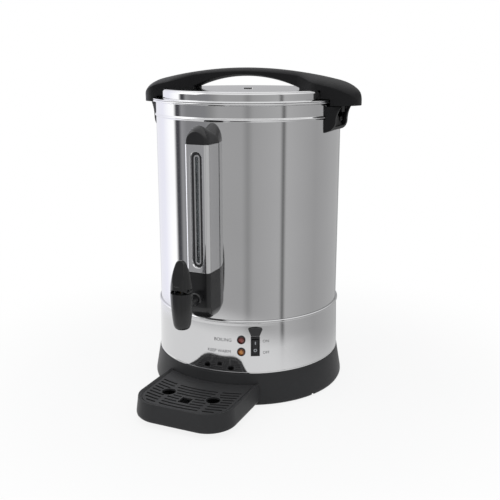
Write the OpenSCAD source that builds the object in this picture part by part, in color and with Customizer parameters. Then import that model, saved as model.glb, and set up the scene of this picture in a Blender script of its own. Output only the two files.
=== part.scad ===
// Hot water urn with a gauge column, a lever tap, a twist-lock lid and a drip tray.
// Lengths are in millimetres, +Z is up and the front is -Y.
// The origin is on the table, under the axis of the vessel.

/* [Vessel] */
// Outside diameter of the vessel
vessel_d = 292; // [260:1:352]
// Height of the rim above the table
rim_z = 457; // [445:1:560]
// Thickness of the steel sheet
sheet = 1; // [0.8:0.1:1.3]
// Reach of the rolled rim beyond the wall
rim_lip = 4.5; // [3.5:0.1:6]
// Depth of the pressed bead below the rim
bead_drop = 23.5; // [20:0.5:28]
// Height of the vessel's floor above the skirt
floor_rise = 26; // [20:1:36]

/* [Base] */
// Height of the base ring
base_h = 49; // [40:1:70]
// Spread of the base ring from its top to its foot
base_flare = 7.3; // [3:0.1:9]
// Wall thickness of the base ring
base_wall = 3; // [2.5:0.1:4]
// Gap that the rubber foot leaves under the base ring
foot_gap = 2; // [1:0.5:4]
// Height of the steel skirt
skirt_h = 84.6; // [75:0.1:110]
// Step from the vessel out to the skirt
skirt_step = 2.4; // [2:0.1:3.5]

/* [Gauge column] */
// Width of the column
col_w = 37.3; // [34:0.1:46]
// Depth of the column in front of the vessel
col_proud = 35.7; // [33:0.1:45]
// Radius of the column's front corners
col_corner = 6; // [3:0.5:9]
// Height of the tap's neck above the skirt
neck_rise = 43.4; // [41:0.1:54]
// Length of the steel cover
cover_len = 184.9; // [140:0.1:230]
// Width of the sight slot
slot_w = 15.8; // [14:0.1:18]
// Outside diameter of the sight tube
tube_d = 10; // [8:0.5:11]
// Height of the cap's crown above the steel cover
cap_h = 25.6; // [22:0.1:30]

/* [Tap] */
// Distance from the column's face to the spout's axis
tap_reach = 48.9; // [44:0.1:60]
// Diameter of the spout at its top
spout_d = 29.6; // [29:0.1:34]
// Length of the spout
spout_len = 54; // [48:0.5:65]
// Height of the lever above the spout
lever_len = 46.2; // [40:0.1:58]
// Distance from the lever's pivot to the valve stem
pivot_arm = 6; // [5.5:0.1:6.5]
// Bore of the neck
tap_bore = 8; // [6:0.5:9]
// Radial clearance of a turning or sliding pin
pin_fit = 0.06; // [0.03:0.01:0.1]

/* [Controls] */
// Angle of the lamps from the front, in degrees
lamp_a = 19.7; // [15:0.1:20]
// Angle of the switch from the front, in degrees
switch_a = 27.9; // [27:0.1:45]
// Height of the switch's centre above the base ring
control_rise = 44.4; // [36:0.1:50]
// Distance between the two lamps
lamp_pitch = 19.2; // [16:0.1:24]
// Diameter of a lamp's bezel
lamp_d = 13; // [11:0.5:15]
// Width of the switch
switch_w = 13.8; // [13:0.1:15]
// Height of the switch
switch_h = 30.2; // [28:0.1:32]
// Tilt of the rocker from one position to the other, in degrees
rocker_throw = 14; // [8:1:16]

/* [Lid] */
// Height of the lid's flat top above the rim
lid_rise = 15.5; // [13:0.5:20]
// Step from the vessel's wall in to the lid's wall
lid_inset = 10; // [9:0.5:13]
// Height of the handle above the lid
handle_rise = 31.9; // [29:0.1:40]
// Width of the handle's middle
grip_w = 28; // [24:0.5:36]
// Thickness of the handle's middle
grip_t = 13; // [11:0.5:16]
// Width of the hooded ends
hood_w = 72; // [62:1:84]
// Reach of the hooded ends beyond the vessel's wall
hood_reach = 37.5; // [34:0.5:42]
// Depth of the hooded ends below the rim
hood_drop = 7; // [5:0.5:9]

/* [Drip tray] */
// Width of the tray
tray_w = 153; // [146:1:186]
// Depth of the tray in front of the base ring
tray_depth = 105.2; // [98:0.1:127]
// Height of the tray's rim
tray_h = 37; // [28:0.5:40]
// Radius of the tray's front corners
tray_corner = 41; // [30:1:48]
// Width of the tray's rim
tray_rim = 5.6; // [4.5:0.1:7]
// Number of slot rows in the grille
slot_rows = 9; // [6:1:9]
// Distance between slot rows
slot_pitch = 8.1; // [7.5:0.1:8.6]
// Width of a slot
slot_gap = 2.8; // [2:0.1:3.5]

/* [Output] */
// Piece to draw, or all of them

/* [Hidden] */
$fn = 96;

steel = [0.78, 0.79, 0.8];
black = [0.07, 0.07, 0.08];
grey = [0.25, 0.25, 0.26];
rubber = [0.04, 0.04, 0.04];
brass = [0.72, 0.58, 0.28];
aluminium = [0.66, 0.67, 0.68];
glass = [0.75, 0.85, 0.88];
red = [0.5, 0.12, 0.08];
amber = [0.85, 0.5, 0.1];

// Overlap that keeps cuts and unions clean
eps = 0.01;
// Smoothness of the large cylinders
wide_fn = 360;
// Gap between parts that move past each other
slip = 0.4;

R = vessel_d / 2;
inner_r = R - sheet;
base_top = foot_gap + base_h;
seam_z = base_top + skirt_h;
floor_z = seam_z + floor_rise;
skirt_r = R + skirt_step;
base_r = skirt_r + 1.6;
foot_r = base_r + base_flare;
rim_r = R + rim_lip;
rim_roll = 1.75;
bead_z = rim_z - bead_drop;
bead_sag = 3;
bead_bulge = 2;
bead_r = (bead_sag * bead_sag + bead_bulge * bead_bulge) / (2 * bead_bulge);

base_profile = [
    [foot_r - 1.6, foot_gap],
    [foot_r, foot_gap + 3],
    [foot_r, foot_gap + 6],
    [base_r, base_top - 1],
    [base_r - 0.6, base_top]
];
ledge_r = R - 18;
ledge_z = foot_gap + 4;
ledge_t = 3;
boss_r = 5;
boss_at = ledge_r + 6;
boss_top = ledge_z + 14;
screw_r = 1.6;
screw_depth = 12;
screw_head_r = 3.5;
screw_head_h = 2;
notch_a = -25.25;
notch_w = 6;
notch_h = 3.5;
plate_t = 1.2;
plate_r = R - 9;
plate_slot = [40, 4];
plate_pitch = 12;
plate_rows = 3;
screw_count = 4;
foot_in = plate_r + 1;
foot_out = R + 1;

heat_r = 0.68 * R;
heat_t = 4;
tube_r = 4.25;
boil_r = 0.55 * R;
warm_r = 0.34 * R;
cold_end = 16;
heat_pin_r = 1.6;
heat_pin = 12;
thermostat_r = 12;
thermostat_h = 12;
cutout_r = 7;
cutout_h = 10;
blade_t = 1;
terminal_size = [48, 18, 16];
terminal_pitch = 9;

col_half = col_w / 2;
col_front = R + col_proud;
col_root = 8;
neck_z = seam_z + neck_rise;
cover_lift = 38;
cover_z0 = neck_z + cover_lift;
cover_z1 = cover_z0 + cover_len;
chin_gap = 4.6;
chin_z = seam_z + chin_gap;
chin_r = 25;
slot_half = slot_w / 2;
slot_z0 = cover_z0 + 8;
slot_z1 = cover_z1 - 11.3;
lip_depth = 3;
lip_flare = 1.6;
bezel_t = 2.5;
ring_half = 4.8;
ring_w = 2.2;
ring_proud = 0.4;
sight_r = tube_d / 2;
sight_bore = sight_r - 1.5;
sight_y = -(col_front - lip_depth - bezel_t - sight_r - 0.4);
seal_r = sight_r + 3;
seal_h = 6;
cap_plug = 8;
cap_gap = 0.3;
cap_peak = 12;
cap_rise = 7.2;
cap_fall = 18;
cap_sides = 24;
tube_socket = 12;
bezel_lap = 2.5;

gland_z = foot_gap + 24;
gland_r = 8;
gland_bore = 4.25;
gland_in = R - 12;
gland_out = foot_r + 6;

cap_screw_y = -(R + 9);
cap_screw_head = 3;
cap_screw_z = cover_z1 + col_half - 4;

tap_y = -(col_front + tap_reach);
spout_r = spout_d / 2;
spout_round = 3;
spout_over = 22.5;
spout_top = neck_z + spout_over;
spout_bot = spout_top - spout_len;
// Radius of the long curve that narrows the spout towards its mouth
barrel_r = 330;
barrel_h = spout_len - spout_round;
spout_tip_r = spout_r - barrel_r + sqrt(barrel_r * barrel_r - barrel_h * barrel_h);
chamber_r = spout_r - 3.8;
seat_drop = 9;
seat_z = neck_z - seat_drop;
seat_t = 3;
seat_r = 7;
outlet_r = spout_r - 7.6;
neck_r = 6.5;
neck_lip = 1.8;
neck_land = 1.2;
shank_r = 6;
shank_end = R - 24;
washer_t = 3;
nut_t = 8;
nut_af = 22;
collar_r = neck_r + 3;
collar_w = 11;
bonnet_t = 7;
bonnet_z = spout_top - bonnet_t;
stem_r = 3;
stem_head = [7.8, 8];
cup_t = 3;
pivot_y = tap_y - pivot_arm;
pivot_z = spout_top + 5;
ear_x0 = 4.4;
ear_x1 = 7;
ear_r = 3.8;
pin_r = 2;
lift_r = 1.5;
lift_slot = 0.8;
lever_gap = 0.7;
lever_tip_r = 7.5;
lever_tip_z = spout_top + lever_len - lever_tip_r;
lever_rise = lever_tip_z - spout_top;
// Centre and radius of the arc that runs from the lever's foot to its rounded tip
ogive_x = (lever_rise * lever_rise - (spout_r - lever_tip_r) * (spout_r - lever_tip_r))
    / (2 * (spout_r - lever_tip_r));
ogive_r = spout_r + ogive_x;
tip_join = lever_tip_z + lever_tip_r * lever_rise / (ogive_r - lever_tip_r);
lever_wall_x = 7.4;
// Pocket in the lever around the bonnet's ears, and the relief under its front edge
ear_room = 1.4;
pocket_back = 7.5;
pocket_low = 10;
pocket_high = 8;
relief_back = 4.3;
relief_front = 4;
relief_reach = 12;
lever_pin_len = 23.6;
lift_pin_len = 26;
spring_r = 5.5;
spring_wire = 0.7;
spring_z0 = seat_z + 10;
spring_z1 = bonnet_z;

control_z = base_top + control_rise;
lamp_z = control_z + 0.7;
lens_r = lamp_d / 2 - 2;
switch_depth = 18;
rocker_half = switch_h / 2 - 3.1;
rocker_x = switch_w / 2 - 2.3;
rocker_y = 4;
trunnion_r = 1.5;
guard_h = 13;
guard_t = 3;
guard_top_r = 30;
bezel_proud = 2;
lens_proud = 1.6;
lens_dome = 2;

bracket_top = rim_z - 7.7;
bracket_knee = rim_z - 30;
bracket_root = 42;
bracket_cheek = 6.2;
belly_in = 7.5;
bracket_tip = 27;
bracket_out = 16;
belly_r = 16;
sweep_r = 36;
bracket_plate = 5;
recess_half = 24;
recess_back = 2.5;
flange_out = 11;
flange_a = 9;
keyway_in = 5;
keyway_a = 5.2;
toe_a0 = -6.4;
toe_a1 = -2.6;
toe_t = 3;
bracket_screw_y = 12;
bracket_screw_r = 2;
bracket_screw_in = 7;

lid_top = rim_z + lid_rise;
lid_r = R - lid_inset;
lid_flange_r = rim_r - 1.1;
lid_roll = 1.1;
roll_rise = 1.5;
lid_round = 2;
locate_r = inner_r - 1.2;
locate_h = 11;
vent_r = 5;
vent_flange = 9;
vent_hole = 2;
handle_screw_x = 0.77 * R;

tray_half = tray_w / 2;
tray_front = foot_r + tray_depth;
tray_gap = 1.5;
tray_back = foot_r + tray_gap;
tray_lift = 6;
tray_floor = tray_lift + 2.5;
tray_spread = 3;
slice_t = 0.1;
rim_edge = 1.8;
pad_r = 5;
pad_x = 0.62 * tray_half;
pad_in = 32;
slot_border = 4.5;
rib_half = 3;
hole_border = 2.5;
grille_t = 3;
grille_top = tray_h - 2;
tongue_x = 45;
tongue_w = 14;
tongue_t = 3.4;
tongue_z = foot_gap + 10;
row_r0 = tray_back + 27.3;
rib_x = 35;
finger_x = 37;
finger_y = -(tray_back + 51.3);
finger_r = 10.5;
drain_y = -(tray_back + 68.3);
drain_half = 8.5;

// Places a piece on the skirt at an angle from the front, with -Y pointing outwards
module on_skirt(a, z) {
    rotate([0, 0, a])
        translate([0, -skirt_r, z])
            children();
}

// Cylinder along Y that starts at y0 and ends at y1
module along_y(r, y0, y1) {
    translate([0, y0, 0])
        rotate([-90, 0, 0])
            cylinder(r = r, h = y1 - y0);
}

// Cylinder along X, centred on x = 0
module along_x(r, len) {
    rotate([0, 90, 0])
        cylinder(r = r, h = len, center = true);
}

// Solid sector of a ring about the vessel's axis
module sector(r0, r1, a0, a1, z0, z1) {
    rotate([0, 0, a0])
        rotate_extrude(angle = a1 - a0)
            translate([r0, z0])
                square([r1 - r0, z1 - z0]);
}

module vessel_core(grow = 0) {
    translate([0, 0, seam_z - 20])
        cylinder(r = R + grow, h = rim_z - seam_z + 40, $fn = wide_fn);
}

module skirt_core() {
    cylinder(r = skirt_r, h = seam_z, $fn = wide_fn);
}

module bead_ring() {
    rotate_extrude()
        difference() {
            translate([R + bead_bulge - bead_r, bead_z])
                circle(r = bead_r);
            translate([0, bead_z - 2 * bead_r])
                square([R - sheet / 2, 4 * bead_r]);
        }
}

module vessel() {
    color(steel)
        difference() {
            union() {
                rotate_extrude() {
                    translate([inner_r, seam_z - 8])
                        square([sheet, rim_z - seam_z + 8]);
                    translate([inner_r, rim_z - sheet])
                        square([rim_lip + sheet - rim_roll, sheet]);
                    translate([rim_r - rim_roll, rim_z - rim_roll])
                        circle(r = rim_roll);
                    translate([0, floor_z - sheet])
                        square([R - sheet / 2, sheet]);
                }
                bead_ring();
            }
            translate([0, 0, neck_z])
                along_y(shank_r, -R - 5, -inner_r + 5);
            for (side = [0, 180])
                rotate([0, 0, side])
                    bracket_holes();
        }
}

module skirt() {
    color(steel)
        difference() {
            rotate_extrude() {
                translate([skirt_r - sheet, base_top])
                    square([sheet, skirt_h - skirt_step]);
                translate([skirt_r - sheet, base_top])
                    square([2 * sheet, sheet]);
                translate([skirt_r, base_top + sheet])
                    circle(r = sheet);
                intersection() {
                    translate([R, seam_z - skirt_step])
                        difference() {
                            circle(r = skirt_step);
                            circle(r = skirt_step - sheet);
                        }
                    translate([R, seam_z - skirt_step - eps])
                        square(2 * skirt_step);
                }
            }
            for (z = [-lamp_pitch / 2, lamp_pitch / 2])
                on_skirt(lamp_a, lamp_z + z)
                    along_y(lens_r, -5, 5);
            on_skirt(switch_a, control_z)
                cube([switch_w - 1.6, 10, switch_h - 2], center = true);
        }
}

// Outside shape of the base ring, filled in
module base_core() {
    rotate_extrude()
        polygon(concat(base_profile, [[0, base_top], [0, foot_gap]]));
}

module base_ring() {
    color(black)
        difference() {
            union() {
                rotate_extrude()
                    polygon(concat(base_profile, [
                        [skirt_r - sheet, base_top],
                        [skirt_r - sheet, base_top + 4],
                        [skirt_r - sheet - 2, base_top + 4],
                        [skirt_r - sheet - 2, base_top - 8],
                        [foot_r - base_wall, ledge_z + ledge_t + 2],
                        [foot_r - base_wall - 2, ledge_z + ledge_t],
                        [ledge_r, ledge_z + ledge_t],
                        [ledge_r, ledge_z],
                        [foot_r - base_wall - 1.6, ledge_z],
                        [foot_r - base_wall - 1.6, foot_gap]
                    ]));
                for (i = [0 : screw_count - 1])
                    rotate([0, 0, 45 + i * 360 / screw_count])
                        translate([boss_at, 0, ledge_z])
                            cylinder(r = boss_r, h = boss_top - ledge_z);
            }
            for (i = [0 : screw_count - 1])
                rotate([0, 0, 45 + i * 360 / screw_count])
                    translate([boss_at, 0, ledge_z - 1])
                        cylinder(r = screw_r, h = screw_depth + 1);
            for (i = [0 : 3])
                rotate([0, 0, notch_a + i * 90])
                    translate([foot_r, 0, foot_gap])
                        cube([4 * base_wall, notch_w, 2 * notch_h], center = true);
            for (side = [-1, 1])
                translate([side * tongue_x, -foot_r, tongue_z])
                    cube([tongue_w + 2 * slip, 60, tongue_t + 2 * slip], center = true);
            translate([0, 0, gland_z])
                along_y(gland_r, R - 20, foot_r + 5);
        }
}

module foot_ring() {
    color(rubber)
        difference() {
            cylinder(r = foot_out, h = ledge_z);
            translate([0, 0, -1])
                cylinder(r = foot_in, h = ledge_z + 2);
        }
}

module bottom_plate() {
    color(steel)
        translate([0, 0, ledge_z - plate_t])
            difference() {
                cylinder(r = plate_r, h = plate_t);
                for (i = [0 : screw_count - 1])
                    rotate([0, 0, 45 + i * 360 / screw_count])
                        translate([boss_at, 0, -1])
                            cylinder(r = screw_r, h = plate_t + 2);
                for (row = [-plate_rows : plate_rows], side = [-1, 1])
                    translate([side * 0.38 * R, row * plate_pitch, plate_t / 2])
                        cube([plate_slot[0], plate_slot[1], 3 * plate_t], center = true);
            }
}

module plate_screws() {
    color(steel)
        for (i = [0 : screw_count - 1])
            rotate([0, 0, 45 + i * 360 / screw_count])
                translate([boss_at, 0, ledge_z - plate_t]) {
                    cylinder(r = screw_r, h = screw_depth - 1);
                    translate([0, 0, -screw_head_h])
                        cylinder(r1 = screw_head_r - 0.9, r2 = screw_head_r, h = screw_head_h);
                }
}

module heat_plate() {
    color(aluminium)
        translate([0, 0, floor_z - sheet - heat_t])
            cylinder(r = heat_r, h = heat_t);
}

// Open loop of heating tube with two cold ends turned down
module element(r, gap_a) {
    over_a = 1.2 * asin(tube_r / r);
    translate([0, 0, floor_z - sheet - heat_t - tube_r]) {
        rotate([0, 0, gap_a - over_a])
            rotate_extrude(angle = 360 - 2 * (gap_a - over_a))
                translate([r, 0])
                    circle(r = tube_r);
        for (a = [gap_a, -gap_a])
            rotate([0, 0, a])
                translate([r, 0, 0]) {
                    translate([0, 0, -cold_end])
                        cylinder(r = tube_r - 1, h = cold_end);
                    translate([0, 0, 2 - cold_end - heat_pin])
                        cylinder(r = heat_pin_r, h = heat_pin);
                }
    }
}

module boil_element() {
    color(steel)
        element(boil_r, 12);
}

module warm_element() {
    color(steel)
        rotate([0, 0, 90])
            element(warm_r, 18);
}

module boil_thermostat() {
    color(black)
        translate([0, 0, floor_z - sheet - heat_t - thermostat_h]) {
            cylinder(r = thermostat_r, h = thermostat_h);
            for (side = [-1, 1])
                translate([side * thermostat_r / 2, 0, -5])
                    cube([blade_t, 6, 12], center = true);
        }
}

module dry_cutout() {
    color(black)
        rotate([0, 0, 200])
            translate([0.45 * R, 0, floor_z - sheet - heat_t - cutout_h]) {
                cylinder(r = cutout_r, h = cutout_h);
                for (side = [-1, 1])
                    translate([0, side * 4, -4])
                        cube([5, blade_t, 10], center = true);
            }
}

module terminal_block() {
    color(grey)
        translate([0, 0.55 * R, ledge_z])
            difference() {
                translate([-terminal_size[0] / 2, -terminal_size[1] / 2, 0])
                    cube(terminal_size);
                for (i = [-2 : 2])
                    translate([i * terminal_pitch, 0, 6])
                        cylinder(r = 2.5, h = terminal_size[2]);
            }
}

module cord_gland() {
    color(black)
        translate([0, 0, gland_z])
            difference() {
                union() {
                    along_y(gland_r, gland_in, foot_r);
                    difference() {
                        along_y(gland_r + 3, base_r - 4, gland_out);
                        translate([0, 0, -gland_z])
                            base_core();
                    }
                }
                along_y(gland_bore, gland_in - 5, gland_out + 5);
            }
}

// Plan of the column, from its front face to just behind the vessel's wall
module column_plan(inset = 0) {
    half = col_half - inset;
    front = col_front - inset;
    corner = col_corner - inset;
    depth = front - R + col_root;
    translate([corner - half, -front])
        square([2 * (half - corner), depth]);
    translate([-half, corner - front])
        square([2 * half, depth - corner]);
    for (side = [-1, 1])
        translate([side * (half - corner), corner - front])
            circle(r = corner);
}

// Long round-ended plug that narrows from the column's face inwards
module slot_plug(half_out, half_in, y0, depth) {
    translate([0, -col_front + y0, 0]) {
        for (z = [slot_z0 + slot_half, slot_z1 - slot_half])
            translate([0, 0, z])
                rotate([-90, 0, 0])
                    cylinder(r1 = half_out, r2 = half_in, h = depth);
        translate([0, 0, slot_z0 + slot_half])
            linear_extrude(height = slot_z1 - slot_z0 - slot_w)
                polygon([[-half_out, 0], [half_out, 0], [half_in, depth], [-half_in, depth]]);
    }
}

module gauge_cover() {
    lip_out = slot_half + lip_flare;
    color(steel)
        difference() {
            union() {
                translate([0, 0, cover_z0])
                    linear_extrude(height = cover_len)
                        difference() {
                            column_plan();
                            column_plan(sheet);
                        }
                slot_plug(lip_out + sheet, slot_half + sheet, eps, lip_depth - eps);
            }
            slot_plug(lip_out, slot_half, 0, lip_depth);
            slot_plug(lip_out, lip_out, -1, 1 + eps);
            slot_plug(slot_half, slot_half, lip_depth - eps, 1);
            vessel_core();
        }
}

// Shape of the cap at a depth behind the column's face
cap_depths = [0, 0.15, 0.5, 1, 1.8, 2.8, 4, 6, 9, 12, 16, 20, 24, 28, 32, col_proud + col_root];

function cap_edge(d) =
    let (u = max(0, col_corner - d))
    col_corner - sqrt(col_corner * col_corner - u * u);

function cap_top(d) =
    d < cap_peak
        ? cap_h - cap_rise * pow((cap_peak - d) / cap_peak, 2) - 0.35 * cap_edge(d)
        : cap_h - (d - cap_peak) * tan(cap_fall);

function cap_points() = [
    for (d = cap_depths, i = [0 : cap_sides])
        let (a = 180 * i / cap_sides, w = col_half - cap_gap - cap_edge(d))
        [-w * cos(a), d - col_front, cover_z1 + cap_top(d) * sin(a)]
];

module gauge_cap() {
    color(black)
        difference() {
            union() {
                polyhedron(
                    cap_points(),
                    tube_faces(len(cap_depths), cap_sides + 1),
                    convexity = 6
                );
                translate([0, 0, cover_z1 - cap_plug])
                    linear_extrude(height = cap_plug + eps)
                        intersection() {
                            column_plan(sheet);
                            translate([-col_half, -col_front + lip_depth + bezel_t])
                                square([col_w, col_proud]);
                        }
            }
            vessel_core();
            translate([0, sight_y, cover_z1 - cap_plug - 1])
                cylinder(r = seal_r, h = seal_h + 1);
            translate([0, sight_y, cover_z1 - cap_plug + seal_h - eps])
                cylinder(r = sight_r, h = 8);
            translate([0, cap_screw_y, 0])
                cap_screw_cut();
        }
}

module cap_screw_cut() {
    translate([0, 0, cap_screw_z])
        cylinder(r = cap_screw_head, h = 30);
    translate([0, 0, cover_z1 - 4])
        cylinder(r = screw_r, h = 30);
}

module cap_screw() {
    color(steel)
        translate([0, cap_screw_y, 0]) {
            translate([0, 0, cap_screw_z])
                cylinder(r = cap_screw_head, h = 2.4);
            translate([0, 0, cover_z1 - 4])
                cylinder(r = screw_r, h = col_half + 1);
        }
}

module gauge_base() {
    color(black)
        difference() {
            intersection() {
                translate([0, 0, chin_z])
                    linear_extrude(height = cover_z0 - chin_z)
                        column_plan();
                rotate([90, 0, 0])
                    linear_extrude(height = col_front + 10) {
                        translate([0, chin_z + col_half])
                            circle(r = col_half);
                        translate([-col_half, chin_z + col_half])
                            square([col_w, cover_z0 - chin_z]);
                    }
                rotate([90, 0, 90])
                    linear_extrude(height = 2 * col_w, center = true) {
                        translate([-col_front, chin_z + chin_r])
                            square([col_proud + col_root, cover_z0 - chin_z]);
                        translate([-col_front + chin_r, chin_z])
                            square([col_proud + col_root - chin_r, cover_z0 - chin_z]);
                        translate([-col_front + chin_r, chin_z + chin_r])
                            circle(r = chin_r);
                    }
            }
            vessel_core();
            translate([0, 0, neck_z])
                along_y(shank_r, -col_front - 1, -R + 10);
            translate([0, sight_y, cover_z0 - tube_socket])
                cylinder(r = seal_r, h = 2 * tube_socket);
            translate([0, sight_y, neck_z])
                cylinder(r = sight_bore, h = cover_lift - tube_socket + 1);
        }
}

module gauge_bezel() {
    color(black)
        difference() {
            slot_plug(slot_half + bezel_lap, slot_half + bezel_lap, lip_depth, bezel_t);
            slot_plug(ring_half, ring_half, lip_depth - 1, bezel_t + 2);
        }
}

// Bright trim around the sight tube's window
module gauge_ring() {
    window = ring_half - ring_w;
    color(steel)
        difference() {
            slot_plug(ring_half, ring_half, lip_depth - ring_proud, bezel_t + ring_proud);
            slot_plug(window, window, lip_depth - 2, bezel_t + 3);
        }
}

module sight_tube() {
    color(glass)
        translate([0, sight_y, cover_z0 - tube_socket])
            difference() {
                cylinder(r = sight_r, h = cover_len + tube_socket - cap_plug + seal_h + 4);
                translate([0, 0, -1])
                    cylinder(r = sight_bore, h = cover_len + 40);
            }
}

module tube_seals() {
    color(rubber)
        for (z = [cover_z0 - tube_socket, cover_z1 - cap_plug])
            translate([0, sight_y, z])
                difference() {
                    cylinder(r = seal_r, h = seal_h);
                    translate([0, 0, -1])
                        cylinder(r = sight_r, h = seal_h + 2);
                }
}

module tap_body() {
    color(black)
        difference() {
            union() {
                translate([0, tap_y, 0])
                    rotate_extrude() {
                        intersection() {
                            translate([spout_r - barrel_r, spout_top])
                                circle(r = barrel_r, $fn = wide_fn);
                            translate([0, spout_top - barrel_h])
                                square([spout_r, barrel_h]);
                        }
                        translate([0, spout_bot])
                            square([spout_tip_r - spout_round, spout_round + eps]);
                        intersection() {
                            translate([spout_tip_r - spout_round, spout_bot + spout_round])
                                circle(r = spout_round);
                            translate([0, spout_bot])
                                square([spout_tip_r, spout_round + eps]);
                        }
                    }
                translate([0, 0, neck_z]) {
                    along_y(neck_r + neck_lip, tap_y, tap_y + spout_r + neck_land);
                    along_y(neck_r, tap_y, -col_front);
                    along_y(shank_r, tap_y, -shank_end);
                }
            }
            translate([0, tap_y, seat_z])
                cylinder(r = chamber_r, h = spout_len);
            translate([0, tap_y, seat_z - seat_t - 1])
                cylinder(r = seat_r, h = seat_t + 2);
            translate([0, tap_y, spout_bot - 1])
                cylinder(r = outlet_r, h = seat_z - seat_t - spout_bot + 1);
            translate([0, 0, neck_z])
                along_y(tap_bore / 2, tap_y, -shank_end + 1);
            translate([0, sight_y, neck_z])
                cylinder(r = sight_bore, h = 2 * shank_r);
        }
}

module neck_collar() {
    color(black)
        translate([0, 0, neck_z])
            difference() {
                union() {
                    along_y(collar_r, -col_front - collar_w + 2, -col_front);
                    translate([0, -col_front - collar_w, 0])
                        rotate([-90, 0, 0])
                            cylinder(r1 = collar_r - 1.5, r2 = collar_r, h = 2 + eps);
                }
                along_y(neck_r, -col_front - collar_w - 1, -col_front + 1);
            }
}

module tap_washer() {
    color(rubber)
        intersection() {
            translate([0, 0, neck_z])
                difference() {
                    along_y(nut_af / 2 + 3, -R, -inner_r + washer_t + 1);
                    along_y(shank_r, -R - 1, -inner_r + washer_t + 2);
                }
            vessel_core(-sheet);
        }
}

module tap_nut() {
    color(brass)
        translate([0, 0, neck_z])
            difference() {
                translate([0, -inner_r + washer_t + 1, 0])
                    rotate([-90, 0, 0])
                        cylinder(d = nut_af / cos(30), h = nut_t, $fn = 6);
                along_y(shank_r, -R, -inner_r + washer_t + nut_t + 2);
            }
}

module tap_bonnet() {
    color(black)
        difference() {
            union() {
                translate([0, tap_y, bonnet_z])
                    cylinder(r = chamber_r, h = bonnet_t);
                for (side = [-1, 1])
                    translate([side * (ear_x0 + ear_x1) / 2, pivot_y, 0]) {
                        translate([0, 0, (bonnet_z + pivot_z) / 2])
                            intersection() {
                                cube([ear_x1 - ear_x0, 2 * ear_r, pivot_z - bonnet_z], center = true);
                                translate([-side * (ear_x0 + ear_x1) / 2, pivot_arm, 0])
                                    cylinder(r = chamber_r, h = 60, center = true);
                            }
                        translate([0, 0, pivot_z])
                            along_x(ear_r, ear_x1 - ear_x0);
                    }
            }
            translate([0, tap_y, bonnet_z - 1])
                cylinder(r = stem_r + pin_fit, h = bonnet_t + 2);
            translate([0, pivot_y, pivot_z])
                along_x(pin_r + pin_fit, 40);
        }
}

module tap_lever() {
    color(black)
        difference() {
            translate([0, tap_y, 0])
                intersection() {
                    rotate_extrude()
                        union() {
                            intersection() {
                                translate([-ogive_x, spout_top])
                                    circle(r = ogive_r, $fn = wide_fn);
                                translate([0, spout_top + lever_gap])
                                    square([spout_r, tip_join - spout_top - lever_gap]);
                            }
                            intersection() {
                                translate([0, lever_tip_z])
                                    circle(r = lever_tip_r);
                                translate([0, tip_join - eps])
                                    square(2 * lever_tip_r);
                            }
                        }
                    lever_front();
                }
            translate([0, pivot_y, pivot_z]) {
                translate([-lever_wall_x, -ear_r - ear_room, -pocket_low])
                    cube([
                        2 * lever_wall_x,
                        ear_r + ear_room + pivot_arm + pocket_back,
                        pocket_low + pocket_high
                    ]);
                rotate([90, 0, 90])
                    linear_extrude(height = 60, center = true)
                        polygon([
                            [0, -relief_back],
                            [-relief_reach, relief_front],
                            [-relief_reach, -relief_reach],
                            [0, -relief_reach]
                        ]);
                along_x(pin_r, 40);
                translate([0, pivot_arm, 0])
                    along_x(lift_r, 40);
            }
        }
}

// Half-space behind the lever's flat front facet
module lever_front() {
    rotate([90, 0, 90])
        linear_extrude(height = 60, center = true)
            polygon([
                [-spout_r - 1, spout_top - 1],
                [-spout_r - 1, spout_top + 9],
                [-spout_r + 1.5, spout_top + 12],
                [-1.5, spout_top + lever_len + 2],
                [spout_r + 1, spout_top + lever_len + 2],
                [spout_r + 1, spout_top - 1]
            ]);
}

module lever_pin() {
    color(steel)
        translate([0, pivot_y, pivot_z])
            along_x(pin_r, lever_pin_len);
}

module lift_pin() {
    color(steel)
        translate([0, tap_y, pivot_z])
            along_x(lift_r, lift_pin_len);
}

module valve_stem() {
    color(brass)
        translate([0, tap_y, 0])
            difference() {
                union() {
                    translate([0, 0, seat_z + 1])
                        cylinder(r = stem_r, h = pivot_z - seat_z - 1);
                    translate([0, 0, spring_z0 - 2])
                        cylinder(r = spring_r + 1.5, h = 2);
                    translate([0, 0.4, pivot_z])
                        cube([2 * ear_x0 - 2, stem_head[0], stem_head[1]], center = true);
                }
                translate([0, 0, pivot_z]) {
                    for (y = [-lift_slot, 0])
                        translate([0, y, 0])
                            along_x(lift_r + 0.2, 30);
                    translate([0, -lift_slot / 2, 0])
                        cube([30, lift_slot, 2 * (lift_r + 0.2)], center = true);
                }
            }
}

module seat_cup() {
    color(rubber)
        translate([0, tap_y, seat_z])
            difference() {
                union() {
                    cylinder(r = chamber_r - 2, h = cup_t);
                    cylinder(r = stem_r + 2.5, h = 2 * cup_t);
                }
                translate([0, 0, 1])
                    cylinder(r = stem_r, h = 10);
            }
}

// Points and faces of a tube that follows a helix with flat end turns
spring_turns = 5;
spring_steps = 24;
spring_sides = 8;

function spring_height(t) =
    let (u = min(1, max(0, (t * spring_turns - 0.8) / (spring_turns - 1.6))))
    spring_z0 + spring_wire + u * (spring_z1 - spring_z0 - 2 * spring_wire);

function spring_points() = [
    for (i = [0 : spring_turns * spring_steps], j = [0 : spring_sides - 1])
        let (
            a = 360 * i / spring_steps,
            b = 360 * j / spring_sides + 22.5,
            w = spring_wire / cos(180 / spring_sides),
            r = spring_r + w * cos(b)
        )
        [r * cos(a), r * sin(a), spring_height(i / (spring_turns * spring_steps)) + w * sin(b)]
];

function tube_faces(rings, sides) = concat(
    [[for (j = [0 : sides - 1]) j]],
    [for (i = [0 : rings - 2], j = [0 : sides - 1])
        let (a = i * sides, b = a + sides, k = (j + 1) % sides)
        [a + j, b + j, b + k, a + k]],
    [[for (j = [sides - 1 : -1 : 0]) (rings - 1) * sides + j]]
);

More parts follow.
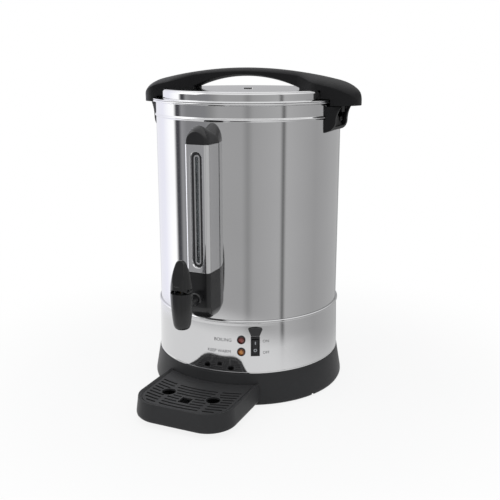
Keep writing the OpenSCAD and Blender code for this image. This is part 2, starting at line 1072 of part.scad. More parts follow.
module valve_spring() {
    color(steel)
        translate([0, tap_y, 0])
            polyhedron(
                spring_points(),
                tube_faces(spring_turns * spring_steps + 1, spring_sides),
                convexity = 10
            );
}

module switch_bezel() {
    color(black)
        difference() {
            union() {
                difference() {
                    on_skirt(switch_a, control_z)
                        translate([-switch_w / 2, -bezel_proud, -switch_h / 2])
                            cube([switch_w, 6, switch_h]);
                    skirt_core();
                }
                on_skirt(switch_a, control_z)
                    translate([-switch_w / 2 + 0.8, -1, -switch_h / 2 + 1])
                        cube([switch_w - 1.6, switch_depth, switch_h - 2]);
            }
            on_skirt(switch_a, control_z) {
                translate([-rocker_x - slip, -5, -rocker_half - 1])
                    cube([2 * (rocker_x + slip), 16, 2 * (rocker_half + 1)]);
                translate([0, rocker_y, 0])
                    along_x(trunnion_r + pin_fit, switch_w - 2.6);
            }
        }
}

module rocker() {
    dip = rocker_half * tan(rocker_throw / 2);
    color(black)
        on_skirt(switch_a, control_z)
            translate([0, rocker_y, 0])
                rotate([rocker_throw / 2, 0, 0]) {
                    rotate([90, 0, 90])
                        linear_extrude(height = 2 * rocker_x, center = true)
                            polygon([
                                [-rocker_y - 1, 0],
                                [-rocker_y - 1 - dip, rocker_half],
                                [0, rocker_half - 0.6],
                                [5, 3],
                                [5, -3],
                                [0, -rocker_half + 0.6],
                                [-rocker_y - 1 - dip, -rocker_half]
                            ]);
                    along_x(trunnion_r, switch_w - 2.8);
                }
}

module switch_guard() {
    low = 0.47 * switch_w;
    high = 0.85 * switch_w;
    color(grey)
        difference() {
            on_skirt(switch_a, control_z + switch_h / 2 + 2.2)
                rotate([90, 0, 0])
                    translate([0, 0, -4])
                        linear_extrude(height = guard_t + 4)
                            intersection() {
                                polygon([[-low, 0], [low, 0], [high, guard_h], [-high, guard_h]]);
                                translate([0, guard_h - guard_top_r])
                                    circle(r = guard_top_r);
                            }
            skirt_core();
        }
}

module lamp_bezels() {
    color(black)
        difference() {
            for (z = [-lamp_pitch / 2, lamp_pitch / 2])
                on_skirt(lamp_a, lamp_z + z)
                    difference() {
                        union() {
                            along_y(lamp_d / 2, -1, 3);
                            translate([0, -bezel_proud, 0])
                                rotate([-90, 0, 0])
                                    cylinder(r1 = lamp_d / 2 - 1, r2 = lamp_d / 2, h = 1 + eps);
                        }
                        along_y(lens_r, -5, 5);
                    }
            skirt_core();
        }
}

module lamp_lens(z) {
    dome_r = (lens_r * lens_r + lens_dome * lens_dome) / (2 * lens_dome);
    on_skirt(lamp_a, lamp_z + z) {
        along_y(lens_r, -lens_proud, 12);
        intersection() {
            translate([0, dome_r - lens_proud - lens_dome, 0])
                sphere(r = dome_r);
            along_y(lens_r, -lens_proud - 2 * lens_dome, 0);
        }
    }
}

module boil_lens() {
    color(red)
        lamp_lens(lamp_pitch / 2);
}

module warm_lens() {
    color(amber)
        lamp_lens(-lamp_pitch / 2);
}

module bracket_holes() {
    for (y = [-bracket_screw_y, bracket_screw_y])
        translate([R, y, bracket_knee + 2])
            along_x(bracket_screw_r, 40);
}

// Bracket at the +X side
module bracket() {
    difference() {
        union() {
            intersection() {
                translate([0, 0, bracket_knee - 2 * belly_r])
                    linear_extrude(height = 200)
                        polygon([
                            [R - 16, -bracket_root],
                            [R - bracket_cheek, -bracket_root],
                            [R + bracket_out, -bracket_tip],
                            [R + bracket_out, bracket_tip],
                            [R - bracket_cheek, bracket_root],
                            [R - 16, bracket_root]
                        ]);
                difference() {
                    rotate([90, 0, 0])
                        linear_extrude(height = 2 * bracket_root, center = true) {
                            translate([R - belly_in, bracket_knee])
                                circle(r = belly_r);
                            difference() {
                                translate([R - 16, bracket_knee])
                                    square([bracket_out + 16, bracket_top - bracket_knee]);
                                translate([R - belly_in + belly_r + sweep_r, bracket_knee])
                                    circle(r = sweep_r);
                            }
                        }
                    translate([R + recess_back, -recess_half, bracket_knee - 8])
                        cube([60, 2 * recess_half, 200]);
                }
            }
            sector(R - 4, R + flange_out, -flange_a, flange_a, bracket_top - bracket_plate, bracket_top);
        }
        vessel_core();
        bead_ring();
        sector(
            R + keyway_in, R + 40, toe_a1 + 0.6, keyway_a,
            bracket_top - bracket_plate - 1, bracket_top + 1
        );
        bracket_holes();
    }
}

module bracket_right() {
    color(black)
        bracket();
}

module bracket_left() {
    color(black)
        rotate([0, 0, 180])
            bracket();
}

module bracket_screws() {
    color(steel)
        for (side = [0, 180])
            rotate([0, 0, side])
                for (y = [-bracket_screw_y, bracket_screw_y])
                    translate([R, y, bracket_knee + 2])
                        rotate([0, 90, 0]) {
                            translate([0, 0, -bracket_screw_in])
                                cylinder(r = bracket_screw_r, h = bracket_screw_in + recess_back);
                            translate([0, 0, recess_back])
                                cylinder(r1 = 4, r2 = 3, h = 2.4);
                        }
}

module lid_pan() {
    color(steel)
        difference() {
            rotate_extrude() {
                translate([0, lid_top - sheet])
                    square([lid_r - lid_round, sheet]);
                translate([lid_r - sheet, rim_z])
                    square([sheet, lid_rise - lid_round]);
                intersection() {
                    translate([lid_r - lid_round, lid_top - lid_round])
                        difference() {
                            circle(r = lid_round);
                            circle(r = lid_round - sheet);
                        }
                    translate([lid_r - lid_round - eps, lid_top - lid_round - eps])
                        square(2 * lid_round);
                }
                translate([lid_r - sheet, rim_z])
                    square([lid_flange_r - lid_r + sheet, sheet]);
                translate([lid_flange_r, rim_z + roll_rise])
                    circle(r = lid_roll);
                translate([locate_r - sheet, rim_z - locate_h])
                    square([sheet, locate_h + sheet / 2]);
            }
            translate([0, 0, lid_top - 5])
                cylinder(r = vent_r + pin_fit, h = 10);
            for (side = [-1, 1])
                translate([side * handle_screw_x, 0, lid_top - 5])
                    cylinder(r = 2, h = 10);
        }
}

// Shape of the handle along X
hood_half = hood_w / 2;
hood_end = R + hood_reach;
hood_x = hood_end - hood_half;
hood_bot = rim_z - hood_drop;
arch_top = lid_top + handle_rise;
arch_r = 4.51 * R;
arch_foot = 0.623 * R;
under_sag = handle_rise - grip_t;
under_r = (arch_foot * arch_foot + under_sag * under_sag) / (2 * under_sag);
flare_x0 = 0.575 * R;
flare_x1 = 0.863 * R;
nose_drop = 14;
grip_crown = 6;
hood_crown = 11;
under_round = 2.8;
handle_wall = 3;
rim_relief = 13;
crown_power = 1.35;
top_count = 15;
low_count = 9;

function ramp(t) =
    let (u = min(1, max(0, t)))
    u * u * (3 - 2 * u);

function flare(x) = ramp((abs(x) - flare_x0) / (flare_x1 - flare_x0));

function past_hood(x) = min(1, max(0, (abs(x) - hood_x) / hood_half));

function arch_z(x) =
    arch_top - arch_r + sqrt(arch_r * arch_r - x * x)
    - nose_drop * (1 - sqrt(1 - past_hood(x) * past_hood(x)));

function half_width(x) =
    (grip_w / 2 + flare(x) * (hood_half - grip_w / 2)) * sqrt(1 - past_hood(x) * past_hood(x));

function crown(x) = grip_crown + flare(x) * (hood_crown - grip_crown);

function under_z(x) =
    abs(x) <= arch_foot
        ? arch_top - grip_t - under_r + sqrt(under_r * under_r - x * x)
        : hood_bot;

// One closed section of the handle at x, shrunk by an inset
function section(x, inset, low) =
    let (
        w = max(0.2, half_width(x) - inset),
        c = crown(x),
        shoulder = arch_z(x) - c - inset,
        b = low,
        lift = under_round * (1.1 - flare(x))
    )
    concat(
        [for (i = [0 : top_count - 1])
            let (s = cos(180 * i / (top_count - 1)))
            [x, s * w, shoulder + c * pow(max(0, 1 - s * s), 1 / crown_power)]],
        [for (i = [0 : low_count - 1])
            let (s = -cos(180 * i / (low_count - 1)))
            [x, s * w, b + lift * s * s]]
    );

hood_angles = [5, 12, 19, 26, 33, 40, 47, 54, 61, 68, 74, 79, 83, 86, 88.5];
hood_stations = [for (a = hood_angles) hood_x + hood_half * sin(a)];
mid_stations = concat(
    [for (i = [0 : 14]) i * arch_foot / 14],
    [for (i = [0 : 9]) arch_foot + 0.5 + i * (hood_x - arch_foot - 0.5) / 9]
);
right_stations = concat(mid_stations, hood_stations);
all_stations = concat(
    [for (i = [len(right_stations) - 1 : -1 : 1]) -right_stations[i]],
    right_stations
);
pocket_stations = concat(
    [for (i = [0 : 4]) R + i * (hood_x - R) / 5],
    [for (a = [0, 12, 24, 36, 48, 58, 66]) hood_x + (hood_half - handle_wall) * sin(a)]
);

function loft_points(stations, inset, low) = [
    for (x = stations)
        each section(x, inset, low == undef ? under_z(x) : low)
];

module loft(stations, inset = 0, low = undef) {
    polyhedron(
        loft_points(stations, inset, low),
        tube_faces(len(stations), top_count + low_count),
        convexity = 10
    );
}

// Post and toe that hook under the +X bracket's flange
module claw() {
    post_in = R + flange_out + 1;
    post_top = arch_z(post_in + 3) - 2;
    toe_z = bracket_top - bracket_plate - slip - toe_t;
    sector(post_in, post_in + 3, toe_a0, toe_a1, toe_z, post_top);
    sector(R + keyway_in + 0.6, post_in + 1, toe_a0, toe_a1, toe_z, toe_z + toe_t);
}

module lid_handle() {
    color(black)
        difference() {
            union() {
                difference() {
                    loft(all_stations);
                    for (side = [0, 180])
                        rotate([0, 0, side])
                            difference() {
                                loft(pocket_stations, handle_wall, hood_bot - 5);
                                cylinder(r = rim_r + slip + handle_wall, h = lid_top + 50);
                            }
                }
                for (side = [0, 180])
                    rotate([0, 0, side])
                        claw();
            }
            translate([0, 0, rim_z - 40])
                cylinder(r = lid_r + slip, h = 40 + lid_rise);
            translate([0, 0, rim_z - rim_relief])
                difference() {
                    cylinder(r = rim_r + slip + 0.2, h = rim_relief + roll_rise + lid_roll + slip);
                    translate([0, 0, -1])
                        cylinder(r = lid_r, h = 40);
                }
            for (side = [-1, 1])
                translate([side * handle_screw_x, 0, lid_top - 1])
                    cylinder(r = 1.6, h = 13);
        }
}

module handle_screws() {
    color(steel)
        for (side = [-1, 1])
            translate([side * handle_screw_x, 0, lid_top - sheet]) {
                cylinder(r = 1.6, h = 12);
                translate([0, 0, -2.4])
                    cylinder(r1 = 3, r2 = 4, h = 2.4);
            }
}

module steam_vent() {
    color(steel)
        translate([0, 0, lid_top])
            difference() {
                union() {
                    cylinder(r1 = vent_flange, r2 = vent_flange - 1, h = 1);
                    translate([0, 0, -8])
                        cylinder(r = vent_r, h = 8 + eps);
                }
                translate([0, 0, -10])
                    cylinder(r = vent_hole, h = 20);
            }
}

// Plan of the tray without its curved back, drawn in from the rim's edge by an inset
module tray_plan(inset) {
    half = tray_half - inset;
    front = tray_front - inset;
    corner = tray_corner - inset;
    reach = front - tray_back * 0.7;
    translate([corner - half, -front])
        square([2 * (half - corner), reach]);
    translate([-half, corner - front])
        square([2 * half, reach - corner]);
    for (side = [-1, 1])
        translate([side * (half - corner), corner - front])
            circle(r = corner, $fn = 64);
}

module tray_slice(z, inset) {
    translate([0, 0, z])
        linear_extrude(height = slice_t)
            tray_plan(inset);
}

module drip_tray() {
    color(black)
        difference() {
            union() {
                difference() {
                    hull() {
                        tray_slice(tray_lift, 4);
                        tray_slice(tray_lift + 1.5, 0.6);
                        tray_slice(tray_lift + 4, 0.4 - tray_spread);
                        tray_slice(tray_lift + 8, -tray_spread);
                        tray_slice(tray_h - slice_t, 0);
                    }
                    hull() {
                        tray_slice(tray_floor, tray_rim + 6);
                        tray_slice(tray_floor + 4, tray_rim + 3);
                        tray_slice(tray_h, tray_rim + 3);
                    }
                    translate([0, 0, grille_top - grille_t])
                        linear_extrude(height = 20)
                            tray_plan(tray_rim);
                    hull() {
                        tray_slice(grille_top, tray_rim);
                        tray_slice(tray_h, rim_edge);
                    }
                }
                intersection() {
                    translate([0, 0, tray_lift])
                        linear_extrude(height = grille_top - grille_t - tray_lift)
                            tray_plan(tray_rim);
                    cylinder(r = tray_back + tray_rim + 3, h = tray_h);
                }
                intersection() {
                    translate([0, 0, tray_lift + 2])
                        linear_extrude(height = grille_top - tray_lift - 2)
                            tray_plan(rim_edge);
                    cylinder(r = tray_back + tray_rim, h = tray_h);
                }
                for (side = [-1, 1]) {
                    for (y = [pad_in - tray_front, -tray_back - pad_in / 2])
                        translate([side * pad_x, y, 0])
                            cylinder(r = pad_r, h = tray_floor - 1, $fn = 48);
                    tongue(side);
                }
            }
            difference() {
                base_room();
                for (side = [-1, 1])
                    tongue(side);
            }
        }
}

// Space of the base ring and the gap around it, which the back of the tray follows
module base_room() {
    rotate_extrude()
        polygon([
            [0, -1],
            [tray_back, -1],
            [tray_back, base_profile[2][1]],
            [base_profile[3][0] + tray_gap, base_profile[3][1]],
            [0, base_profile[3][1]]
        ]);
}

module tongue(side) {
    back = sqrt(tray_back * tray_back - tongue_x * tongue_x);
    translate([side * tongue_x - tongue_w / 2, -back - 4, tongue_z - tongue_t / 2])
        cube([tongue_w, 16, tongue_t]);
}

module tray_grille() {
    inset = tray_rim + slip;
    border = inset + slot_border;
    side_w = tray_half - rib_x - 2 * rib_half;
    color(black)
        translate([0, 0, grille_top - grille_t])
            linear_extrude(height = grille_t)
                difference() {
                    tray_plan(inset);
                    circle(r = tray_back + tray_rim + slip, $fn = 180);
                    difference() {
                        intersection() {
                            for (i = [0 : slot_rows - 1])
                                difference() {
                                    circle(r = row_r0 + i * slot_pitch + slot_gap / 2, $fn = 180);
                                    circle(r = row_r0 + i * slot_pitch - slot_gap / 2, $fn = 180);
                                }
                            union() {
                                translate([-rib_x + rib_half, -tray_front])
                                    square([2 * (rib_x - rib_half), tray_front]);
                                for (side = [-1, 1])
                                    translate([side * (rib_x + tray_half) / 2, -tray_front / 2])
                                        square([side_w, tray_front], center = true);
                            }
                            tray_plan(border);
                        }
                        for (side = [-1, 1])
                            translate([side * finger_x, finger_y])
                                circle(r = finger_r + hole_border);
                        translate([0, drain_y])
                            square(2 * (drain_half + hole_border), center = true);
                    }
                    for (side = [-1, 1])
                        translate([side * finger_x, finger_y])
                            circle(r = finger_r);
                    translate([0, drain_y])
                        square(2 * drain_half, center = true);
                }
}

vessel();
skirt();
base_ring();
foot_ring();
bottom_plate();
plate_screws();
heat_plate();
boil_element();
warm_element();
boil_thermostat();
dry_cutout();
terminal_block();
cord_gland();
gauge_cover();
gauge_cap();
gauge_base();
gauge_bezel();
gauge_ring();
sight_tube();
tube_seals();
cap_screw();
tap_body();
neck_collar();
tap_washer();
tap_nut();
tap_bonnet();
tap_lever();
lever_pin();
lift_pin();
valve_stem();
seat_cup();
valve_spring();
switch_bezel();
rocker();
switch_guard();
lamp_bezels();
boil_lens();
warm_lens();
bracket_right();
bracket_left();
bracket_screws();
lid_pan();
lid_handle();
handle_screws();
steam_vent();
drip_tray();
tray_grille();
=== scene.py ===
import math

import bmesh
import bpy
from mathutils import Matrix, Vector


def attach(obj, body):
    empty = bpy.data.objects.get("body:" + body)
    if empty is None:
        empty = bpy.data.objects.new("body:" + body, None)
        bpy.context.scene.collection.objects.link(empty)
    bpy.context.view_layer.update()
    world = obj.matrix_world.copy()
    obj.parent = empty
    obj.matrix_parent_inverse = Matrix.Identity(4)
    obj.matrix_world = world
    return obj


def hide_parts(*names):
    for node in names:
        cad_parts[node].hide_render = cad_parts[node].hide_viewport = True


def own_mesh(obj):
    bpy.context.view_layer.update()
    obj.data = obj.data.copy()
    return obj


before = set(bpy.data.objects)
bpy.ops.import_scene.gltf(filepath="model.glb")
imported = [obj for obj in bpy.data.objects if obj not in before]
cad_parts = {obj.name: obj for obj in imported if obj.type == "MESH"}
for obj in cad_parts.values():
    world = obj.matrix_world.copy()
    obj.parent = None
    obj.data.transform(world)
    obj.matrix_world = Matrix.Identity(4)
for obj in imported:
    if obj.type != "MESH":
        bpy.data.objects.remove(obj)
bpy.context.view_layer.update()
scene = bpy.context.scene
scene.view_settings.view_transform = "Standard"


# Camera. It stands to the right of the tap and looks a little down on the urn,
# with a short telephoto lens, so the sides of the vessel stay almost upright.
def placed(name, data):
    """New object in the scene."""
    made = bpy.data.objects.new(name, data)
    scene.collection.objects.link(made)
    return made


camera = placed("camera", bpy.data.cameras.new("camera"))
camera.data.sensor_width = 36
camera.data.lens = 54.18
camera.location = (0.4947, -1.1111, 0.5201)
camera.rotation_euler = (math.radians(90 - 14.38), 0, math.radians(24) - 0.002)
scene.camera = camera


# Studio. A pale floor runs back into a white room. The polished steel shows the room as upright
# bands: a bright window on the left, a dark gap beside it, and grey walls in front and on the right.
def linear(code):
    channels = [int(code[i:i + 2], 16) / 255 for i in (1, 3, 5)]
    return [c / 12.92 if c <= 0.04045 else ((c + 0.055) / 1.055) ** 2.4 for c in channels] + [1]


def wire(tree, node, links):
    """Sets a node's inputs, or links them to a socket or to the first output in use of another node."""
    for name, value in links.items():
        if isinstance(value, bpy.types.Node):
            value = next(socket for socket in value.outputs if socket.enabled)
        if isinstance(value, bpy.types.NodeSocket):
            tree.links.new(value, node.inputs[name])
        else:
            node.inputs[name].default_value = value


def add(tree, kind, links=None, **settings):
    node = tree.nodes.new(kind)
    for name, value in settings.items():
        setattr(node, name, value)
    wire(tree, node, links or {})
    return node


room = bpy.data.worlds.new("Studio room")
room.use_nodes = True
scene.world = room
tree = room.node_tree
tree.nodes.clear()
ray = add(tree, "ShaderNodeLightPath")
where = add(tree, "ShaderNodeSeparateXYZ", {0: add(tree, "ShaderNodeTexCoord").outputs["Generated"]})
flip = add(tree, "ShaderNodeMath", {0: where.outputs["Y"], 1: -1.0}, operation="MULTIPLY")
turn = add(tree, "ShaderNodeMath", {0: where.outputs["X"], 1: flip}, operation="ARCTAN2")
around = add(tree, "ShaderNodeMapRange", {"Value": turn, "From Min": -math.pi, "From Max": math.pi})
walls = add(tree, "ShaderNodeValToRGB", {"Fac": around})
bands = [
    (-180, "#868686"),
    (-150, "#9C9C9E"),
    (-134, "#D2D2D8"),
    (-106, "#E2E2EC"),
    (-90, "#FAFAFC"),
    (-80, "#FFFFFF"),
    (-75, "#424246"),
    (-70, "#424246"),
    (-65, "#8E8E90"),
    (-56, "#7C7C7E"),
    (-30, "#7C7C7E"),
    (-22, "#868686"),
    (-12, "#989898"),
    (16, "#979797"),
    (23, "#848484"),
    (30, "#979797"),
    (63, "#A2A2A2"),
    (67, "#565656"),
    (71, "#A4A4A4"),
    (115, "#949494"),
    (150, "#9C9C9C"),
]
stops = walls.color_ramp.elements
while len(stops) < len(bands):
    stops.new(0.5)
for stop, (angle, shade) in zip(stops, bands):
    stop.position = (angle + 180) / 360
    stop.color = linear(shade)
# A white ceiling shows in the rolled edges
above = add(
    tree, "ShaderNodeMapRange",
    {"Value": where.outputs["Z"], "From Min": 0.35, "From Max": 0.65, "To Max": 0.7},
)
roof = add(tree, "ShaderNodeMix", {"Factor": above, "A": walls, "B": (1, 1, 1, 1)}, data_type="RGBA")
soft = add(tree, "ShaderNodeBackground", {"Color": linear("#F4F6F8"), "Strength": 0.55})
mirror = add(tree, "ShaderNodeBackground", {"Color": roof, "Strength": 1.6})
white = add(tree, "ShaderNodeBackground", {"Color": (1, 1, 1, 1), "Strength": 1.0})
lit = add(tree, "ShaderNodeMixShader", {0: ray.outputs["Is Glossy Ray"], 1: soft, 2: mirror})
seen = add(tree, "ShaderNodeMixShader", {0: ray.outputs["Is Camera Ray"], 1: lit, 2: white})
add(tree, "ShaderNodeOutputWorld", {"Surface": seen})

floor = placed("floor", bpy.data.meshes.new("floor"))
floor.data.from_pydata([(-6, -6, 0), (6, -6, 0), (6, 6, 0), (-6, 6, 0)], [], [(0, 1, 2, 3)])
pale = bpy.data.materials.new("Pale floor")
pale.use_nodes = True
tree = pale.node_tree
tree.nodes.clear()
ray = add(tree, "ShaderNodeLightPath")
paper = add(tree, "ShaderNodeBsdfDiffuse", {"Color": linear("#F6F6F6")})
glow = add(tree, "ShaderNodeEmission", {"Color": (1, 1, 1, 1), "Strength": 1.0})
lifted = add(tree, "ShaderNodeMixShader", {0: 0.86, 1: paper, 2: glow})
spot = add(tree, "ShaderNodeTexCoord").outputs["Object"]
reach = add(tree, "ShaderNodeVectorMath", {0: spot}, operation="LENGTH")
# In front of the base the steel shows the lit floor, and further out and to the right it shows the walls
ends = []
for middle, nearest, furthest in (((-0.05, -0.1, 0), 0.36, 0.52), ((-0.2, -0.45, 0), 0.48, 0.86)):
    aside = add(tree, "ShaderNodeVectorMath", {0: spot, 1: middle}, operation="DISTANCE")
    ends.append(add(
        tree, "ShaderNodeMapRange",
        {"Value": aside, "From Min": nearest, "From Max": furthest},
        interpolation_type="SMOOTHSTEP",
    ))
fade = add(tree, "ShaderNodeMath", {0: ends[0], 1: ends[1]}, operation="MAXIMUM")
open_air = add(tree, "ShaderNodeBsdfTransparent")
near = add(tree, "ShaderNodeMixShader", {0: fade, 1: lifted, 2: open_air})
shown = add(tree, "ShaderNodeMixShader", {0: ray.outputs["Is Glossy Ray"], 1: paper, 2: near})
# Away from the urn's shadow the floor turns as white as the room behind it
clear_of = add(
    tree, "ShaderNodeMapRange", {"Value": reach, "From Min": 0.25, "From Max": 0.65},
    interpolation_type="SMOOTHSTEP",
)
viewed = add(tree, "ShaderNodeMixShader", {0: clear_of, 1: lifted, 2: glow})
final = add(tree, "ShaderNodeMixShader", {0: ray.outputs["Is Camera Ray"], 1: shown, 2: viewed})
add(tree, "ShaderNodeOutputMaterial", {"Surface": final})
floor.data.materials.append(pale)

for name, place, aim, width, watts, mirrored in (
    ("window_light", (-1.6, -0.9, 1.3), (0, 0, 0.25), 1.2, 6, True),
    ("overhead_light", (0.2, -0.3, 2.0), (0, 0, 0.3), 1.6, 8, False),
    ("right_fill", (1.3, -1.2, 1.5), (0, 0, 0.3), 1.0, 2.5, False),
):
    lamp = placed(name, bpy.data.lights.new(name, "AREA"))
    lamp.data.size = width
    lamp.data.energy = watts
    lamp.location = place
    lamp.rotation_euler = (Vector(aim) - Vector(place)).to_track_quat("-Z", "Y").to_euler()
    lamp.visible_glossy = mirrored


# Rubber foot. A moulded nitrile ring with two grooves, pressed between the base ring and the plate.
# It carries the whole urn, and lifts the base a little off the table.
def finish(name):
    """New material, its tree, its shader and the object coordinates that its patterns read."""
    material = bpy.data.materials.new(name)
    material.use_nodes = True
    nodes = material.node_tree
    coordinates = add(nodes, "ShaderNodeTexCoord").outputs["Object"]
    return material, nodes, nodes.nodes["Principled BSDF"], coordinates


def surface(tree, shader, tint, shades, matt, rough, limits=(0, 1), dents=None, **sockets):
    """Colour between two shades by one pattern, roughness by another, and dents as
    (pattern, strength, depth in metres). A socket's words are joined by _ in its name."""
    mixed = add(
        tree, "ShaderNodeMix", {"Factor": tint, "A": linear(shades[0]), "B": linear(shades[1])},
        data_type="RGBA",
    )
    ranged = add(tree, "ShaderNodeMapRange", {
        "Value": matt,
        "From Min": limits[0],
        "From Max": limits[1],
        "To Min": rough[0],
        "To Max": rough[1],
    })
    links = {name.replace("_", " "): value for name, value in sockets.items()}
    links.update({"Base Color": mixed, "Roughness": ranged})
    if dents:
        height, strength, depth = dents
        bump = {"Height": height, "Strength": strength, "Distance": depth}
        links["Normal"] = add(tree, "ShaderNodeBump", bump)
    wire(tree, shader, links)


# Dull black with the faint bloom of moulded rubber, in patches of about 12 mm
rubber, tree, shader, place = finish("Black nitrile rubber, moulded")
bloom = add(tree, "ShaderNodeTexNoise", {"Vector": place, "Scale": 80, "Detail": 3})
grain = add(tree, "ShaderNodeTexNoise", {"Vector": place, "Scale": 1500, "Detail": 1})
surface(
    tree, shader, bloom, ("#0C0C0C", "#191918"), bloom, (0.62, 0.82), dents=(grain, 0.2, 0.0002), IOR=1.52
)


def rounded(corners, steps=6):
    """Closed outline in millimetres, with each (across, up, radius) corner turned into an arc."""
    line = []
    for i, (x, y, radius) in enumerate(corners):
        here = Vector((x, y))
        if not radius:
            line.append(here)
            continue
        back = (Vector(corners[i - 1][:2]) - here).normalized()
        ahead = (Vector(corners[(i + 1) % len(corners)][:2]) - here).normalized()
        half = back.angle(ahead) / 2
        centre = here + (back + ahead).normalized() * radius / math.sin(half)
        first = here + back * radius / math.tan(half) - centre
        last = here + ahead * radius / math.tan(half) - centre
        spread = first.angle(last)
        for k in range(steps + 1):
            t = k / steps
            arm = first * math.sin((1 - t) * spread) + last * math.sin(t * spread)
            line.append(centre + arm / math.sin(spread))
    return line


def soften(piece, sharp=35):
    piece.data.polygons.foreach_set("use_smooth", [True] * len(piece.data.polygons))
    piece.data.set_sharp_from_angle(angle=math.radians(sharp))


def solid(name, points, faces, sharp=35):
    """Object from points in millimetres, merged, facing outwards, smooth between sharp edges."""
    shape = bmesh.new()
    corners = [shape.verts.new(Vector(p) / 1000) for p in points]
    for face in faces:
        if len(set(face)) > 2:
            shape.faces.new([corners[i] for i in face])
    bmesh.ops.remove_doubles(shape, verts=shape.verts, dist=1e-7)
    bmesh.ops.dissolve_degenerate(shape, edges=shape.edges, dist=1e-8)
    bmesh.ops.recalc_face_normals(shape, faces=shape.faces)
    mesh = bpy.data.meshes.new(name)
    shape.to_mesh(mesh)
    shape.free()
    piece = placed(name, mesh)
    soften(piece, sharp)
    return piece


def skin(name, rings, sharp=35):
    """Solid through closed rings with equal numbers of points, filled at both ends."""
    count = len(rings[0])
    points = [point for ring in rings for point in ring]
    faces = [tuple(range(count)), tuple(range(len(points) - count, len(points)))]
    for start in range(0, len(points) - count, count):
        for i in range(count):
            j = (i + 1) % count
            faces.append((start + i, start + j, start + count + j, start + count + i))
    return solid(name, points, faces, sharp)


def lathe(name, outline, turns=240, sharp=35, axis=None):
    """Closed outline of (radius, height), spun about Z, which the axis matrix then puts in place."""
    count = len(outline)
    points = []
    for i in range(turns):
        angle = 2 * math.pi * i / turns
        points += [(r * math.cos(angle), r * math.sin(angle), z) for r, z in outline]
    faces = []
    for i in range(turns):
        for j in range(count):
            a, b = i * count, ((i + 1) % turns) * count
            faces.append((a + j, b + j, b + (j + 1) % count, a + (j + 1) % count))
    piece = solid(name, points, faces, sharp)
    if axis:
        piece.data.transform(axis)
    return piece


def bake(piece):
    """Replaces the piece's mesh with what its modifiers make of it."""
    made = bpy.data.meshes.new_from_object(piece.evaluated_get(bpy.context.evaluated_depsgraph_get()))
    made.name = piece.name
    piece.modifiers.clear()
    piece.data = made


def round_edges(piece, width, segments, sharp=30, clamp=True):
    """Rounds the edges that turn by more than a sharp angle, by a width in millimetres."""
    edge = piece.modifiers.new("rounded_edges", "BEVEL")
    edge.width = width / 1000
    edge.segments = segments
    edge.limit_method = "ANGLE"
    edge.angle_limit = math.radians(sharp)
    edge.use_clamp_overlap = clamp
    bake(piece)


def dress(piece, material, body, slot, *replaced):
    """Last step of a piece: flat faces keep flat shading, then its finish and body, and the CAD nodes it
    replaces are hidden. The slot is not used.
    """
    even = piece.modifiers.new("even_normals", "WEIGHTED_NORMAL")
    even.keep_sharp = True
    bake(piece)
    piece.data.materials.clear()
    piece.data.materials.append(material)
    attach(piece, body)
    if replaced:
        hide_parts(*replaced)


foot = lathe(
    "rubber_foot",
    rounded([
        (139, 0, 0.4), (141.2, 0, 0.2), (141.2, 1, 0.2), (142, 1, 0.2), (142, 0, 0.2),
        (143.2, 0, 0.2), (143.2, 1, 0.2), (144, 1, 0.2), (144, 0, 0.2), (146, 0, 0.4),
        (147, 1, 0.4), (147, 6, 0.3), (138, 6, 0.3), (138, 1, 0.4),
    ], 4),
)
dress(foot, rubber, "urn", "black_rubber", "foot_ring")

# Bottom plate. A disc of zinc-plated sheet with two ladders of vent slots, held by four screws.
# It closes the base below the heaters.
zinc, tree, shader, place = finish("Zinc-plated mild steel")
# Zinc shows as a dull spangle of about 3 mm
spangle = add(tree, "ShaderNodeTexVoronoi", {"Vector": place, "Scale": 330})
haze = add(tree, "ShaderNodeTexNoise", {"Vector": place, "Scale": 40, "Detail": 3})
surface(
    tree, shader, haze, ("#9A9DA0", "#BCBFC2"), spangle, (0.32, 0.46), dents=(haze, 0.1, 0.0003), Metallic=1
)


def refinish(material, *nodes):
    """Gives CAD pieces that keep their shape a material of their own."""
    for node in nodes:
        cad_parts[node].data.materials.clear()
        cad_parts[node].data.materials.append(material)


refinish(zinc, "bottom_plate")


# Plate screws. Zinc-plated pan-head screws with a cross recess, driven into bosses in the base ring.
# One tree puts a piece on each point, turned to face outwards, here and wherever a piece repeats.
def block(name, low, high):
    """Plain box in millimetres."""
    points = [(x, y, z) for x in (low[0], high[0]) for y in (low[1], high[1]) for z in (low[2], high[2])]
    faces = [(0, 1, 3, 2), (4, 6, 7, 5), (0, 4, 5, 1), (2, 3, 7, 6), (0, 2, 6, 4), (1, 5, 7, 3)]
    return solid(name, points, faces)


def drill(name, radius, low, high, turns, axis=None):
    """Plain rod about Z, or about the axis, that bores a hole."""
    return lathe(name, [(0, low), (radius, low), (radius, high), (0, high)], turns=turns, axis=axis)


def weld(mesh, gap):
    """Merges points closer than a gap in millimetres, and drops the slivers that this leaves."""
    shape = bmesh.new()
    shape.from_mesh(mesh)
    bmesh.ops.remove_doubles(shape, verts=shape.verts, dist=gap / 1000)
    bmesh.ops.dissolve_degenerate(shape, edges=shape.edges, dist=gap / 1000)
    shape.to_mesh(mesh)
    shape.free()


def cut(piece, tools, sharp=35, how="DIFFERENCE"):
    for tool in tools:
        saw = piece.modifiers.new(tool.name, "BOOLEAN")
        saw.operation = how
        saw.solver = "EXACT"
        saw.object = tool
    bake(piece)
    for tool in tools:
        bpy.data.objects.remove(tool)
    weld(piece.data, 0.01)
    soften(piece, sharp)


def new_tree(name, inputs):
    """Geometry tree with named inputs, its input node and the identifiers of those inputs."""
    made = bpy.data.node_groups.new(name, "GeometryNodeTree")
    for label, kind in inputs:
        made.interface.new_socket(label, in_out="INPUT", socket_type=kind)
    made.interface.new_socket("Geometry", in_out="OUTPUT", socket_type="NodeSocketGeometry")
    sockets = [item for item in made.interface.items_tree if item.in_out == "INPUT"]
    return made, add(made, "NodeGroupInput").outputs, {item.name: item.identifier for item in sockets}


